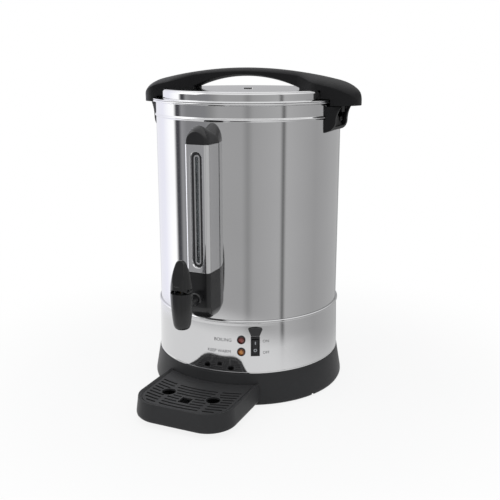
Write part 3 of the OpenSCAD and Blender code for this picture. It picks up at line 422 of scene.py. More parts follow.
def end_tree(made, pieces, material):
    """Last nodes of a geometry tree: real meshes with a material on them."""
    real = add(made, "GeometryNodeRealizeInstances", {"Geometry": pieces})
    painted = add(made, "GeometryNodeSetMaterial", {"Geometry": real, "Material": material})
    add(made, "NodeGroupOutput", {"Geometry": painted})


def run_tree(piece, made, inputs, values):
    """Replaces the piece's mesh with what a geometry tree makes of it."""
    tool = piece.modifiers.new(made.name, "NODES")
    tool.node_group = made
    for label, value in values.items():
        tool[inputs[label]] = value
    bake(piece)


spread, given, spread_inputs = new_tree("pieces_on_points", [
    ("Points", "NodeSocketGeometry"),
    ("Piece", "NodeSocketObject"),
    ("Width", "NodeSocketFloat"),
    ("Height", "NodeSocketFloat"),
    ("Turn", "NodeSocketFloat"),
    ("Finish", "NodeSocketMaterial"),
])
shape = add(spread, "GeometryNodeObjectInfo", {"Object": given["Piece"]})
out = add(spread, "GeometryNodeInputNamedAttribute", {"Name": "out"}, data_type="FLOAT_VECTOR")
facing = add(spread, "FunctionNodeAlignRotationToVector", {"Vector": out}, axis="Z")
chance = add(spread, "FunctionNodeRandomValue", {"Min": 0.0, "Max": 1.0, "Seed": 7}, data_type="FLOAT")
angle = add(spread, "ShaderNodeMath", {0: chance, 1: given["Turn"]}, operation="MULTIPLY")
twist = add(spread, "FunctionNodeAxisAngleToRotation", {"Axis": (0, 0, 1), "Angle": angle})
turned = add(
    spread, "FunctionNodeRotateRotation",
    {"Rotation": facing, "Rotate By": twist},
    rotation_space="LOCAL",
)
size = add(
    spread, "ShaderNodeCombineXYZ", {"X": given["Width"], "Y": given["Width"], "Z": given["Height"]}
)
copies = add(spread, "GeometryNodeInstanceOnPoints", {
    "Points": given["Points"],
    "Instance": shape.outputs["Geometry"],
    "Rotation": turned,
    "Scale": size,
})
end_tree(spread, copies, given["Finish"])


def scatter(name, piece, points, width, height, turn, material):
    """Copies of a piece on (place, direction) pairs in millimetres, as one plain mesh."""
    mesh = bpy.data.meshes.new(name)
    mesh.from_pydata([Vector(at) / 1000 for at, _ in points], [], [])
    mesh.attributes.new("out", "FLOAT_VECTOR", "POINT")
    for i, (_, direction) in enumerate(points):
        mesh.attributes["out"].data[i].vector = direction
    made = placed(name, mesh)
    values = {"Piece": piece, "Width": width, "Height": height, "Turn": turn, "Finish": material}
    run_tree(made, spread, spread_inputs, values)
    return made


# Head of one millimetre radius and height, with a shank below it
screw = lathe(
    "screw",
    rounded([
        (0, -2.2, 0), (0.42, -2.2, 0), (0.42, 0, 0), (1, 0, 0.06), (1, 0.5, 0.3), (0.6, 1, 0.25),
        (0, 1, 0),
    ], 4),
    turns=24,
)
cut(screw, [
    block("recess", (-0.5, -0.11, 0.45), (0.5, 0.11, 1.5)),
    block("recess", (-0.11, -0.5, 0.45), (0.11, 0.5, 1.5)),
])
corners = [math.radians(45 + 90 * i) for i in range(4)]
boss_circle = 134
plate_screws = scatter(
    "plate_screw_set", screw,
    [((boss_circle * math.cos(a), boss_circle * math.sin(a), 4.8), (0, 0, -1)) for a in corners],
    width=3.5, height=2, turn=3, material=zinc,
)
dress(plate_screws, zinc, "urn", "plain_steel", "plate_screws")

# Base ring. A flared ring of black ABS, injection moulded, that carries the skirt on a step and
# hides the heaters. It has small cable notches in its lower lip and two slots for the tray's tongues.
black, tree, shader, place = finish("Satin black moulded ABS")
# Spark-eroded mould texture of about 0.5 mm, drawn at 1.1 mm so that it shows
grit = add(tree, "ShaderNodeTexNoise", {"Vector": place, "Scale": 900, "Detail": 2, "Roughness": 0.6})
cloud = add(tree, "ShaderNodeTexNoise", {"Vector": place, "Scale": 18, "Detail": 3})
surface(
    tree, shader, cloud, ("#363637", "#3E3E3F"), cloud, (0.36, 0.46), (0.3, 0.7),
    dents=(grit, 0.12, 0.0003), IOR=1.4, Specular_IOR_Level=0.15,
)

base_ring = lathe(
    "base_moulding",
    rounded([
        (155.7, 2, 1), (157.3, 5, 2.5), (157.3, 8, 8), (150.0, 50, 1.2), (149.4, 51, 0.4),
        (147.4, 51, 0), (147.4, 55, 0), (145.4, 55, 0), (145.4, 43, 3), (154.3, 11, 1.5),
        (152.3, 9, 0.5), (128, 9, 0.5), (128, 6, 0.5), (152.7, 6, 0.5), (152.7, 2, 0.5),
    ]),
    turns=288,
)
tongue_x = 45
tools = []
for i in range(4):
    notch = block("notch", (151.3, -3, -2), (163, 3, 5.5))
    notch.data.transform(Matrix.Rotation(math.radians(-25.25 + 90 * i), 4, "Z"))
    tools.append(notch)
for side in (-1, 1):
    middle = side * tongue_x
    tools.append(block("tongue_slot", (middle - 7.4, -180, 9.9), (middle + 7.4, -130, 14.1)))
cut(base_ring, tools)
dress(base_ring, black, "urn", "black_plastic", "base_ring")

# Cord gland. A moulded bush in the back of the base ring, with grip ribs and a bell mouth.
# It is the inlet only: nothing passes through it here.
to_back = Matrix.Translation((0, 0, 0.026)) @ Matrix.Rotation(math.radians(-90), 4, "X")
gland = lathe(
    "cord_bush",
    rounded([
        (4.25, 134, 0.5), (8, 134, 1), (8, 150, 0), (11, 150, 0), (11, 157, 0.4),
        (10.2, 157.6, 0.3), (10.2, 158.6, 0.3), (11, 159.2, 0.4), (11, 163.3, 1.2), (6, 163.3, 1),
        (4.25, 160, 1.5),
    ]),
    turns=64,
    axis=to_back,
)
dress(gland, black, "urn", "black_plastic", "cord_gland")


# Heating. An aluminium plate clamped under the vessel's floor with two sheathed elements, a
# thermostat and a dry-boil cut-out on it, and a block of terminals above the bottom plate.
def one_pattern(name, scale, detail, shades, rough, limits=(0, 1), swirl=0, dents=None, **sockets):
    """Finish whose shade, roughness and dents follow one noise. A scale of three numbers stretches it."""
    material, tree, shader, place = finish(name)
    if isinstance(scale, tuple):
        place = add(tree, "ShaderNodeMapping", {"Vector": place, "Scale": scale})
        scale = 1
    noise = {"Vector": place, "Scale": scale, "Detail": detail, "Distortion": swirl}
    field = add(tree, "ShaderNodeTexNoise", noise)
    surface(tree, shader, field, shades, field, rough, limits, dents and (field, *dents), **sockets)
    return material


# Flow marks of about 8 mm from the casting die
cast = one_pattern(
    "Die-cast aluminium", 120, 4, ("#9C9D9F", "#B6B7B9"), (0.4, 0.6), swirl=0.8, Metallic=1
)
refinish(cast, "heat_plate")

# Straw and blue heat colours in patches of about 25 mm
sheath = one_pattern(
    "Heat-stained nickel alloy tube", 40, 2, ("#6B675F", "#5C6470"), (0.35, 0.5), Metallic=1
)
refinish(sheath, "boil_element", "warm_element")

# Glass fibres show as short flecks of about 1 mm
nylon = one_pattern(
    "Dark grey glass-filled nylon", 1000, 1, ("#1D1D1F", "#2A2A2C"), (0.42, 0.6),
    dents=(0.1, 0.0002), IOR=1.53,
)
refinish(nylon, "boil_thermostat", "dry_cutout", "terminal_block")

# Skirt. A slightly tapered band of polished stainless sheet with a rolled bead at its foot and another
# at its top, pushed over the step of the base ring. It is punched for the switch.
steel, tree, shader, place = finish("Polished stainless steel sheet")
# Fine polishing lines run round the vessel, about 0.4 mm apart
lines = add(tree, "ShaderNodeMapping", {"Vector": place, "Scale": (6, 6, 1400)})
polish = add(tree, "ShaderNodeTexNoise", {"Vector": lines, "Scale": 1, "Detail": 3})
smear = add(tree, "ShaderNodeTexNoise", {"Vector": place, "Scale": 9, "Detail": 2})
surface(
    tree, shader, smear, ("#CBCBCC", "#D3D3D4"), polish, (0.05, 0.09), (0.3, 0.7),
    dents=(polish, 0.04, 0.0001), Metallic=1,
)

lean_low, lean_low_radius = 53.6, 149.2
lean_high, lean_high_radius = 131.4, 147.3
skirt = lathe(
    "skirt_band",
    rounded([
        (147.4, 51, 0), (149.4, 51, 0.9), (149.4, 53.2, 0.9), (lean_low_radius, lean_low, 0.2),
        (lean_high_radius, lean_high, 0.4), (148.9, 132.2, 0.9), (148.9, 135.2, 1.4),
        (147.2, 135.6, 0.3), (146.05, 135.6, 0), (146.05, 134.6, 0), (147.4, 134.6, 1),
    ]),
    turns=360,
)
# About the skirt's radius where the lamps, the switch and the labels sit
panel_radius = 148.4


def on_skirt(angle, height):
    """Frame on the skirt's face: X to the right, -Y outwards, Z up, in metres."""
    out = Matrix.Translation((0, -panel_radius / 1000, height / 1000))
    return Matrix.Rotation(math.radians(angle), 4, "Z") @ out


switch_at = on_skirt(27.9, 95.4)
hole = block("switch_hole", (-6.1, -5, -14.1), (6.1, 5, 14.1))
hole.data.transform(switch_at)
cut(skirt, [hole])
dress(skirt, steel, "urn", "polished_steel", "skirt")

# Lamps. Two indicator lamps push into the skirt: a black collar with a rounded edge and a domed
# lens of coloured polycarbonate, stepped in rings so that the bulb behind it spreads.
outwards = Matrix.Rotation(math.radians(90), 4, "X")
lens_radius = 5.5
collar_line = rounded([
    (4.5, -3, 0), (6.5, -3, 0), (6.5, 1.4, 0.6), (5.9, 2, 0.3), (lens_radius, 1.9, 0.2),
    (lens_radius, 0.8, 0), (4.5, 0.8, 0),
], 5)
lens_line = [(0, -12), (4.5, -12), (4.5, 0.8), (lens_radius, 0.8), (lens_radius, 1.4)]
ring_count, dome_low, dome_rise = 6, 1.6, 1.85
for i in range(ring_count):
    outer = lens_radius * math.sqrt(1 - i / ring_count)
    inner = lens_radius * math.sqrt(1 - (i + 1) / ring_count)
    lens_line.append((outer - 0.05, dome_low + dome_rise * i / ring_count))
    lens_line.append((inner + 0.03, dome_low + dome_rise * (i + 0.9) / ring_count))
lens_line.append((0, 3.6))
# Each lens's colour at its rim, and the lighter colour of the bulb's painted glow in its middle
tints = (
    ("boil", "red", 105.7, "#4A100C", "#96504A"),
    ("warm", "amber", 86.5, "#6A340E", "#D8924E"),
)
for word, colour, height, rim_shade, painted_glow_colour in tints:
    at = on_skirt(19.7, height)
    collar = lathe(word + "_collar", collar_line, turns=64, axis=at @ outwards)
    lens = lathe(word + "_dome", lens_line, turns=64, sharp=60, axis=at @ outwards)
    # Painted glow of the bulb: the colour is brighter in the middle, by a value that each point of the lens
    # carries, and no lamp lights it from behind
    core = lens.data.attributes.new("core", "FLOAT", "POINT")
    inverse = (at @ outwards).inverted()
    for i, vertex in enumerate(lens.data.vertices):
        local = inverse @ vertex.co
        core.data[i].value = max(0.0, 1 - 1000 * math.hypot(local.x, local.y) / lens_radius)
    plastic, tree, shader, place = finish(colour.capitalize() + " polycarbonate lens")
    glow_at = add(tree, "ShaderNodeAttribute", attribute_name="core")
    cloudy = add(tree, "ShaderNodeTexNoise", {"Vector": place, "Scale": 700, "Detail": 2})
    mixed = add(tree, "ShaderNodeMath", {0: glow_at.outputs["Fac"], 1: cloudy}, operation="ADD")
    level = add(
        tree, "ShaderNodeMapRange",
        {"Value": mixed, "From Min": 0.72, "From Max": 1.2},
        interpolation_type="SMOOTHSTEP",
    )
    surface(tree, shader, level, (rim_shade, painted_glow_colour), cloudy, (0.12, 0.2), IOR=1.58)
    dress(lens, plastic, "urn", colour + "_lens", word + "_lens")
    dress(collar, black, "urn", "black_plastic", "lamp_bezels")


# Switch. A panel rocker switch snaps into the skirt: a black frame, and a rocker on two trunnions
# that carries the usual bar and ring marks. A flared nylon guard above it keeps drips off.
def eased(name, node, width, sharp=35, clamp=True):
    """Copy of a CAD piece, merged, with its sharp edges rounded by a width in millimetres."""
    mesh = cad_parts[node].data.copy()
    mesh.name = name
    weld(mesh, 0.06)
    shape = bmesh.new()
    shape.from_mesh(mesh)
    bmesh.ops.dissolve_limit(
        shape, angle_limit=math.radians(0.4), verts=shape.verts, edges=shape.edges,
        use_dissolve_boundaries=False,
    )
    shape.to_mesh(mesh)
    shape.free()
    for layer in list(mesh.attributes):
        if layer.name == "custom_normal":
            mesh.attributes.remove(layer)
    piece = placed(name, mesh)
    soften(piece, sharp)
    round_edges(piece, width, 3, sharp, clamp)
    soften(piece, sharp)
    return piece


dress(eased("switch_frame", "switch_bezel", 0.5), black, "urn", "black_plastic", "switch_bezel")
rocker = eased("switch_rocker", "rocker", 0.4)
dress(rocker, black, "rocker", "black_plastic", "rocker")
dress(eased("drip_guard", "switch_guard", 0.6), nylon, "urn", "grey_plastic", "switch_guard")

# The ink is specked, about 0.8 mm apart
mark = one_pattern("White ink printed in a recess", 1200, 2, ("#A9ADB2", "#D5D8DB"), (0.5, 0.65))
# Each mark lies on the face of the rocker that is in front of it
bpy.context.view_layer.update()
inwards = switch_at.to_3x3() @ Vector((0, 1, 0))
bar = rounded([(-0.7, -2.6, 0.3), (0.7, -2.6, 0.3), (0.7, 2.6, 0.3), (-0.7, 2.6, 0.3)], 3)
for name, up, outline in (("on_mark", 6.2, bar), ("off_mark", -6.2, None)):
    _, spot, normal, _ = rocker.ray_cast(switch_at @ Vector((0, -0.03, up / 1000)), inwards)
    face = Matrix.Translation(spot) @ normal.to_track_quat("Z", "Y").to_matrix().to_4x4()
    if outline:
        shape = skin(name, [[(x, y, z) for x, y in outline] for z in (-0.3, 0.06)])
    else:
        shape = lathe(name, [(1.5, -0.3), (2.5, -0.3), (2.5, 0.06), (1.5, 0.06)], turns=40)
    shape.data.transform(face)
    dress(shape, mark, "rocker", "grey_plastic")

# Labels. Plain words pad-printed on the skirt in thin grey ink: on and off beside the switch, and
# what each lamp stands for beside the lamps.

# The pad leaves small pinholes, about 0.6 mm apart
ink = one_pattern("Grey pad-printed ink", 1600, 2, ("#3C3C3D", "#6A6A6B"), (0.4, 0.55))
for name, words, start, height, letter, gap in (
    ("on_word", "ON", 32.3, 101.2, 6.0, 1.1),
    ("off_word", "OFF", 32.3, 83.0, 6.0, 1.0),
    ("boil_word", "BOILING", 3.2, 102.0, 7.2, 1.0),
    ("warm_word", "KEEP WARM", -1.0, 83.8, 6.8, 1.0),
):
    text = bpy.data.curves.new(name, "FONT")
    text.body = words
    text.size = letter
    text.space_character = gap
    text.extrude = 0.04
    setter = placed(name + "_type", text)
    mesh = bpy.data.meshes.new_from_object(setter.evaluated_get(bpy.context.evaluated_depsgraph_get()))
    bpy.data.objects.remove(setter)
    for vertex in mesh.vertices:
        turn_by = math.radians(start) + vertex.co.x / panel_radius
        up = height + vertex.co.y
        # The words follow the skirt's lean and stand just off its face
        lean = (up - lean_low) * (lean_low_radius - lean_high_radius) / (lean_high - lean_low)
        radius = lean_low_radius - lean + 0.03 + vertex.co.z
        spot = Vector((radius * math.sin(turn_by), -radius * math.cos(turn_by), up))
        vertex.co = spot / 1000
    shape = bmesh.new()
    shape.from_mesh(mesh)
    bmesh.ops.remove_doubles(shape, verts=shape.verts, dist=1e-6)
    bmesh.ops.recalc_face_normals(shape, faces=shape.faces)
    shape.to_mesh(mesh)
    shape.free()
    mesh.name = name
    dress(placed(name, mesh), ink, "urn", "grey_plastic")

# Vessel. One deep-drawn stainless pot with a rolled rim and a pressed bead below it. Its lower edge
# stands inside the skirt, and its floor is above the heating plate.
pot_radius, bore_radius = 146, 145
pot_low, rim_radius = 127.6, 1.75
# Twelve steps to half a turn, from straight down to straight up
step_angle = math.pi / 12
half_turn = range(-6, 7)
bead = [(pot_radius + 2 * math.cos(t * step_angle) ** 2, 433.5 + t / 2) for t in half_turn]
rim = []
for t in half_turn:
    r, z = rim_radius * math.cos(t * step_angle), rim_radius * math.sin(t * step_angle)
    rim.append((148.75 + r, 455.25 + z))
vessel = lathe(
    "vessel_pot",
    [(pot_radius, pot_low)] + bead + [(pot_radius, 453)] + rim
    + [(146.2, 457), (145.4, 456.8), (bore_radius, 456.3)]
    + [(bore_radius, 170), (144.2, 166), (142, 163.2), (138, 162), (0, 162)]
    + [(0, 161), (144.5, 161), (bore_radius, 160.5), (bore_radius, pot_low)],
    turns=360,
)
dress(vessel, steel, "urn", "polished_steel", "vessel")

# The drawing die leaves upright scuffs, about 2 mm apart and 60 mm long
satin = one_pattern(
    "Satin stainless steel, as drawn", (500, 500, 16), 3, ("#C6C6C7", "#D6D6D7"), (0.26, 0.38), (0.3, 0.7),
    Metallic=0.95,
)
# Only the outside of the pot is polished
vessel.data.materials.append(satin)
for face in vessel.data.polygons:
    face.material_index = int(1000 * face.center.xy.length < (pot_radius + bore_radius) / 2)

# Side brackets. Black nylon shells screwed to the vessel under the hoods. Their flanges take the lid's
# hooks, and the recess between their cheeks is a finger grip.
filled, tree, shader, place = finish("Satin black glass-filled nylon")
# Short fibres show as a fine streaked grain, about 1 mm apart and drawn out along X
fibres = add(tree, "ShaderNodeMapping", {"Vector": place, "Scale": (250, 1000, 1000)})
grain = add(tree, "ShaderNodeTexNoise", {"Vector": fibres, "Scale": 1, "Detail": 3})
cloud = add(tree, "ShaderNodeTexNoise", {"Vector": place, "Scale": 20, "Detail": 2})
surface(
    tree, shader, cloud, ("#1B1B1C", "#222223"), cloud, (0.42, 0.5), (0.3, 0.7),
    dents=(grain, 0.08, 0.0002), Specular_IOR_Level=0.12,
)

for side in ("right", "left"):
    bracket = eased(side + "_bracket", "bracket_" + side, 0.6, clamp=False)
    dress(bracket, filled, "urn", "black_plastic", "bracket_" + side)
# The oxide is cloudy over about 3 mm
blacked = one_pattern("Black oxide steel", 330, 2, ("#2C2C2E", "#3A3A3B"), (0.35, 0.55), Metallic=0.8)
bracket_screws = scatter(
    "bracket_screw_set", screw,
    [((side * 148.5, y, 429), (side, 0, 0)) for side in (-1, 1) for y in (-12, 12)],
    width=4, height=2.4, turn=3, material=blacked,
)
dress(bracket_screws, blacked, "urn", "plain_steel", "bracket_screws")

# Gauge column. A folded steel cover with a dished slot stands between a black foot and a black cap.
# Behind the slot a black frame carries a bright trim, and a glass tube there shows the level.
column_half, column_front = 18.65, 181.7
cover_low, cover_high = 217, 401.9
tube_axis = Matrix.Translation((0, -0.1708, 0))
to_front = Matrix.Translation((0, 0, 0.179)) @ outwards


def column_line(half, front, corner, behind=pot_radius):
    """Plan of the column: round front corners, straight sides and a back on the vessel's radius."""
    side = rounded([(half, -100, 0), (half, -front, corner), (0, -front, 0)], 14)[1:-1]
    back = [half * (1 - i / 8) for i in range(17)]
    line = [(x, -math.sqrt(behind ** 2 - x ** 2)) for x in reversed(back)]
    return line + [(p.x, p.y) for p in side] + [(-p.x, p.y) for p in reversed(side)]


def slot_plug(name, outer, inner, near, deep):
    """Long round-ended plug in the column's face that narrows from one depth to another."""
    rings = []
    for half, depth in ((outer, near), (inner, deep)):
        ring = []
        for middle, start in ((382.7, 0), (232.9, 180)):
            for i in range(25):
                a = math.radians(start + 7.5 * i)
                ring.append((half * math.cos(a), depth - column_front, middle + half * math.sin(a)))
        rings.append(ring)
    return skin(name, rings)


def upright(name, levels, sharp=35):
    """Solid through plans of the column at (height, half width, front, corner)."""
    return skin(name, [[(x, y, z) for x, y in column_line(*plan)] for z, *plan in levels], sharp)


# Rolling lines run along the strip, about 0.8 mm apart. Its shade, lighter than the polished steel's, is a
# painted highlight: it stands in for the light that catches the cover
painted_bright_strip = one_pattern(
    "Bright rolled stainless strip", (1200, 1200, 5), 2, ("#E4E4E5", "#EAEAEB"), (0.08, 0.14), (0.3, 0.7),
    Metallic=1,
)

# A narrow gap is left between the cover and the vessel
cover = upright("gauge_front", [(z, column_half, column_front, 6, 147.4) for z in (cover_low, cover_high)])
inside = upright("inside", [(z, column_half - 1, column_front - 1, 5, 140) for z in (210, 410)])
cut(cover, [inside])
cut(cover, [slot_plug("lip", 10.5, 8.9, 0.01, 2.99)], how="UNION")
cut(cover, [slot_plug("mouth", 10.03, 7.37, -1, 4)])
round_edges(cover, 0.4, 2)
soften(cover)
dress(cover, painted_bright_strip, "urn", "polished_steel", "gauge_cover")

gloss, tree, shader, place = finish("Glossy black moulded nylon")
# Flow of the melt shows as slow swirls, about 40 mm apart, and the polished mould left fine scratches
swirl = add(tree, "ShaderNodeTexNoise", {"Vector": place, "Scale": 25, "Detail": 3, "Distortion": 1.5})
scratch = add(tree, "ShaderNodeTexNoise", {"Vector": place, "Scale": 1100, "Detail": 2})
surface(
    tree, shader, swirl, ("#1D1D1E", "#252526"), swirl, (0.17, 0.25), (0.3, 0.7),
    dents=(scratch, 0.05, 0.0002), IOR=1.45,
)

# The foot's lower end is round from the front, and its chin is round from the side
foot_low, chin_radius = 140.2, 25
plans = []
for i in range(1, 25):
    t = math.radians(90 * i / 24)
    width = max(0.6, column_half * math.sin(t))
    plans.append((column_half * (1 - math.cos(t)), width, min(7.5, width * 0.8)))
for i in range(1, 7):
    plans.append((column_half + (chin_radius - column_half) * i / 6, column_half, 7.5 - i / 4))
levels = []
for up, width, corner in plans:
    chin = chin_radius - math.sqrt(chin_radius ** 2 - (chin_radius - up) ** 2)
    levels.append((foot_low + up, width, column_front - chin, corner))
levels.append((cover_low - 0.4, column_half, column_front, 6))
levels.append((cover_low, column_half - 0.3, column_front - 0.3, 6))
gauge_foot = upright("gauge_foot", levels, 50)
cut(gauge_foot, [
    drill("shank_hole", 6, 130, 190, 48, to_front),
    lathe(
        "tube_hole", [(0, 180), (3.6, 180), (3.6, 205), (5.5, 205), (5.5, 230), (0, 230)],
        turns=48, axis=tube_axis,
    ),
], 50)
dress(gauge_foot, gloss, "urn", "black_plastic", "gauge_base")
dress(eased("gauge_frame", "gauge_bezel", 0.3), black, "urn", "black_plastic", "gauge_bezel")
dress(eased("gauge_trim", "gauge_ring", 0.5), steel, "urn", "polished_steel", "gauge_ring")

# Depths behind the crown's face, closer together where its edge is rounded, with the vessel's wall last
depths = [0, 0.04, 0.1, 0.2, 0.35, 0.5, 0.7, 1, 1.4, 1.8, 2.3, 2.8, 3.4]
depths += [*range(4, 13), 14, 17, 20, 24, 28, 32, None]
crown_half, crown_rise, ridge_depth = 18.35, 25.6, 12
rings = []
for depth in depths:
    ring = []
    for i in range(65):
        a = math.pi * i / 64
        # The front edge is rounder at the sides, where it meets the cover's corners, than on the crown
        corner = 6 - 3.4 * math.sin(a)
        back = column_front - math.sqrt(pot_radius ** 2 - (crown_half * math.cos(a)) ** 2)
        d = back if depth is None else depth
        inset = corner - math.sqrt(corner ** 2 - max(0, corner - d) ** 2)
        if d < ridge_depth:
            top = crown_rise - 7.2 * ((ridge_depth - d) / ridge_depth) ** 2 - 0.35 * inset
        else:
            top = crown_rise - (d - ridge_depth) * math.tan(math.radians(18))
        z = cover_high + top * math.sin(a)
        ring.append(((inset - crown_half) * math.cos(a), d - column_front, z))
    rings.append(ring)
dress(skin("gauge_crown", rings, 50), gloss, "urn", "black_plastic", "gauge_cap")

clear, tree, shader, place = finish("Clear borosilicate glass tube")
# A film of scale dulls the bore in patches of about 15 mm
film = add(tree, "ShaderNodeTexNoise", {"Vector": place, "Scale": 60, "Detail": 2})
dull = add(tree, "ShaderNodeMapRange", {"Value": film, "To Min": 0.02, "To Max": 0.09})
wire(tree, shader, {
    "Base Color": linear("#E8EEF0"), "Roughness": dull, "Transmission Weight": 0.9, "IOR": 1.47,
})
tube = lathe(
    "level_tube",
    rounded([(3.5, 205, 0.4), (5, 205, 0.4), (5, 403.9, 0.4), (3.5, 403.9, 0.4)], 4),
    turns=48,
    axis=tube_axis,
)
dress(tube, clear, "urn", "clear_glass", "sight_tube")
refinish(rubber, "tube_seals")
cap_screw = scatter(
    "cap_screw_set", screw, [((0, -155, 416.55), (0, 0, 1))], width=3, height=2.4, turn=3, material=zinc
)
dress(cap_screw, zinc, "urn", "plain_steel", "cap_screw")

# Tap. A moulded spout on a slim neck, with a collar against the gauge's foot and a nut inside the
# vessel. A lever on the bonnet's ears lifts a brass stem off its seat, against a spring.
barrel_radius, barrel_curve, barrel_top = 15.9, 330, 201.5
spout_line = [(7.2, 147.5), (8.6, 147.8), (9.7, 148.5), (10.6, 149.5), (11.3, 150.7), (11.8, 152.2)]
for k in range(25):
    up = 154 + 47 * k / 24
    inwards = barrel_curve - math.sqrt(barrel_curve ** 2 - (barrel_top - up) ** 2)
    spout_line.append((barrel_radius - inwards, up))
spout_line += [(barrel_radius - 0.15, barrel_top - 0.15), (barrel_radius - 0.5, barrel_top)]
spout_line += [(11, barrel_top), (11, 170), (7, 170), (7, 167), (7.2, 167)]
seat_y = -230.6
over_seat = Matrix.Translation((0, seat_y / 1000, 0))
spout = lathe("tap_spout", spout_line, turns=96, axis=over_seat)
neck = lathe(
    "neck",
    rounded([
        (0, 122, 0), (6, 122, 0.5), (6, 181, 0), (6.5, 181.7, 0), (6.5, 214.6, 0.8),
        (8.3, 214.6, 0.6), (8.3, 218.5, 0), (0, 218.5, 0),
    ]),
    turns=64,
    axis=to_front,
)
# Part of a raised rim closes the gap under the lever's back, where it does not dip
arc = [math.radians(230 * i / 40 - 25) for i in range(41)]
rim_line = [(14.2, a) for a in arc] + [(11.6, a) for a in reversed(arc)]
half_rim = skin("half_rim", [
    [(r * math.cos(a), r * math.sin(a) + seat_y, z) for r, a in rim_line] for z in (200, 202.1)
])
cut(spout, [neck, half_rim], how="UNION")
cut(spout, [drill("bore", 4, 110, 222, 40, to_front), drill("riser", 3.6, 179, 191, 32, tube_axis)])
dress(spout, gloss, "urn", "black_plastic", "tap_body")

collar = lathe(
    "tap_collar",
    rounded([
        (6.5, 181.7, 0), (9.5, 181.7, 0.3), (9.5, 190.7, 0.9), (8.0, 192.7, 0.6), (6.5, 192.7, 0.3),
    ]),
    turns=72,
    axis=to_front,
)
dress(collar, gloss, "urn", "black_plastic", "neck_collar")
dress(eased("tap_plug", "tap_bonnet", 0.4), black, "urn", "black_plastic", "tap_bonnet")
lever = eased("tap_handle", "tap_lever", 0.6, 30, clamp=False)
lever_growth = 1.06
wider = Matrix.Diagonal((lever_growth, lever_growth, 1, 1))
lever.data.transform(over_seat @ wider @ over_seat.inverted())
dress(lever, gloss, "tap_lever", "black_plastic", "tap_lever")

# Rings left by the cutting tool, about 0.3 mm apart along the stem
brass = one_pattern("Turned brass", (20, 20, 3300), 2, ("#A88A4A", "#C9AE6C"), (0.2, 0.34), Metallic=1)
refinish(brass, "tap_nut", "valve_stem")
refinish(rubber, "tap_washer", "seat_cup")
refinish(zinc, "lever_pin", "lift_pin")
# The coil sits between the bonnet and the stem's collar, which squeeze it as the stem rises; here it is a
# copy of the CAD spring with a mesh of its own
coil = placed("return_coil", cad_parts["valve_spring"].data.copy())
dress(coil, zinc, "urn", "plain_steel", "valve_spring")
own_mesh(coil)

# Lid. A pressed stainless pan with a rolled flange, and a locating ring that stands inside the rim.
# A small flanged vent in the middle of the pan lets the steam out.
roll_radius = 0.8
roll = []
for t in reversed(half_turn):
    r, z = roll_radius * math.cos(t * step_angle), roll_radius * math.sin(t * step_angle)
    roll.append((149.5 + r, 457.85 + z))
lid = lathe(
    "lid_dish",
    rounded([(5.2, 472.5, 0), (136.2, 472.5, 5.5), (136.2, 457.8, 1.5), (149, 457.8, 0)], 10)
    + roll
    + [(143.8, 457), (143.8, 446.4), (143.4, 446), (143.2, 446), (142.8, 446.4), (142.8, 457)]
    + [(135.3, 457), (135, 457.4), (135, 470.5), (134.6, 471.3), (133.8, 471.5), (5.2, 471.5)],
    turns=360,
)
dress(lid, steel, "lid", "polished_steel", "lid_pan")
vent = lathe(
    "vent_bush",
    rounded([
        (2, 464.5, 0.3), (5, 464.5, 0.5), (5, 472.5, 0), (9, 472.5, 0), (8, 473.5, 0.5),
        (2, 473.5, 0.4),
    ], 4),
    turns=72,
)
dress(vent, steel, "lid_vent", "polished_steel", "steam_vent")


# Handle. One black moulding arches over the lid, swells into a hood at each end and is hollow there.
# Screws through the lid hold its feet, and hooks inside the hoods turn under the side brackets.
def ease_in(t):
    t = min(1, max(0, t))
    return t * t * (3 - 2 * t)


# Both faces of the arch are arcs in millimetres, given by their highest point and their radius
arch_top, top_radius = 504.4, 658.46
arch_under, under_radius, under_half = 491.4, 228.33, 90.96
swell_start, swell_length = 83.95, 42.05
grip_half, hood_half = 14, 36
nose_start, nose_length, nose_drop = 147.5, 36, 14


def arched(name, stations, inset=0, low=None):
    """Solid through oval sections across X, shrunk by an inset, down to the arch's underside or to low."""
    top_steps, low_steps = 44, 16
    rings = []
    for x in stations:
        swell = ease_in((abs(x) - swell_start) / swell_length)
        nose = math.sqrt(1 - min(1, max(0, (abs(x) - nose_start) / nose_length)) ** 2)
        crown = 6 + 5 * swell
        ridge = arch_top - top_radius + math.sqrt(top_radius ** 2 - x * x) - nose_drop * (1 - nose)
        wide = max(0.1, (grip_half + (hood_half - grip_half) * swell) * nose - inset)
        shoulder = ridge - crown - inset
        if low:
            under = low
        elif abs(x) <= under_half:
            under = arch_under - under_radius + math.sqrt(under_radius ** 2 - x * x)
        else:
            under = 450
        ring = []
        for i in range(top_steps + 1):
            s = math.cos(math.pi * i / top_steps)
            ring.append((x, s * wide, shoulder + crown * (1 - s * s) ** (1 / 1.35)))
        for i in range(1, low_steps):
            s = -math.cos(math.pi * i / low_steps)
            ring.append((x, s * wide, under + 2.8 * (1.1 - swell) * s * s))
        rings.append(ring)
    return skin(name, rings, 40)


half = [under_half * i / 30 for i in range(31)] + [91.2 + 56.3 * i / 26 for i in range(27)]
for a in [*range(4, 88, 4), 86, 87.5, 88.7]:
    half.append(nose_start + nose_length * math.sin(math.radians(a)))
handle = arched("lid_grip", [-x for x in half[:0:-1]] + half)
wall = 3
tools = []
for side in (1, -1):
    hollow = [side * (146 + 0.3 * i) for i in range(6)]
    for a in range(3, 70, 3):
        hollow.append(side * (nose_start + (nose_length - wall) * math.sin(math.radians(a))))
    pocket = arched("pocket", hollow, wall, 445)
    cut(pocket, [drill("keep", 153.9, 400, 520, 180)])
    tools.append(pocket)
tools.append(
    lathe(
        "lid_room",
        [(0, 416), (151.1, 416), (151.1, 460), (136.4, 460), (136.4, 472.5), (0, 472.5)],
        turns=240,
    )
)
cut(handle, tools, 40)
dress(handle, filled, "lid", "black_plastic", "lid_handle")

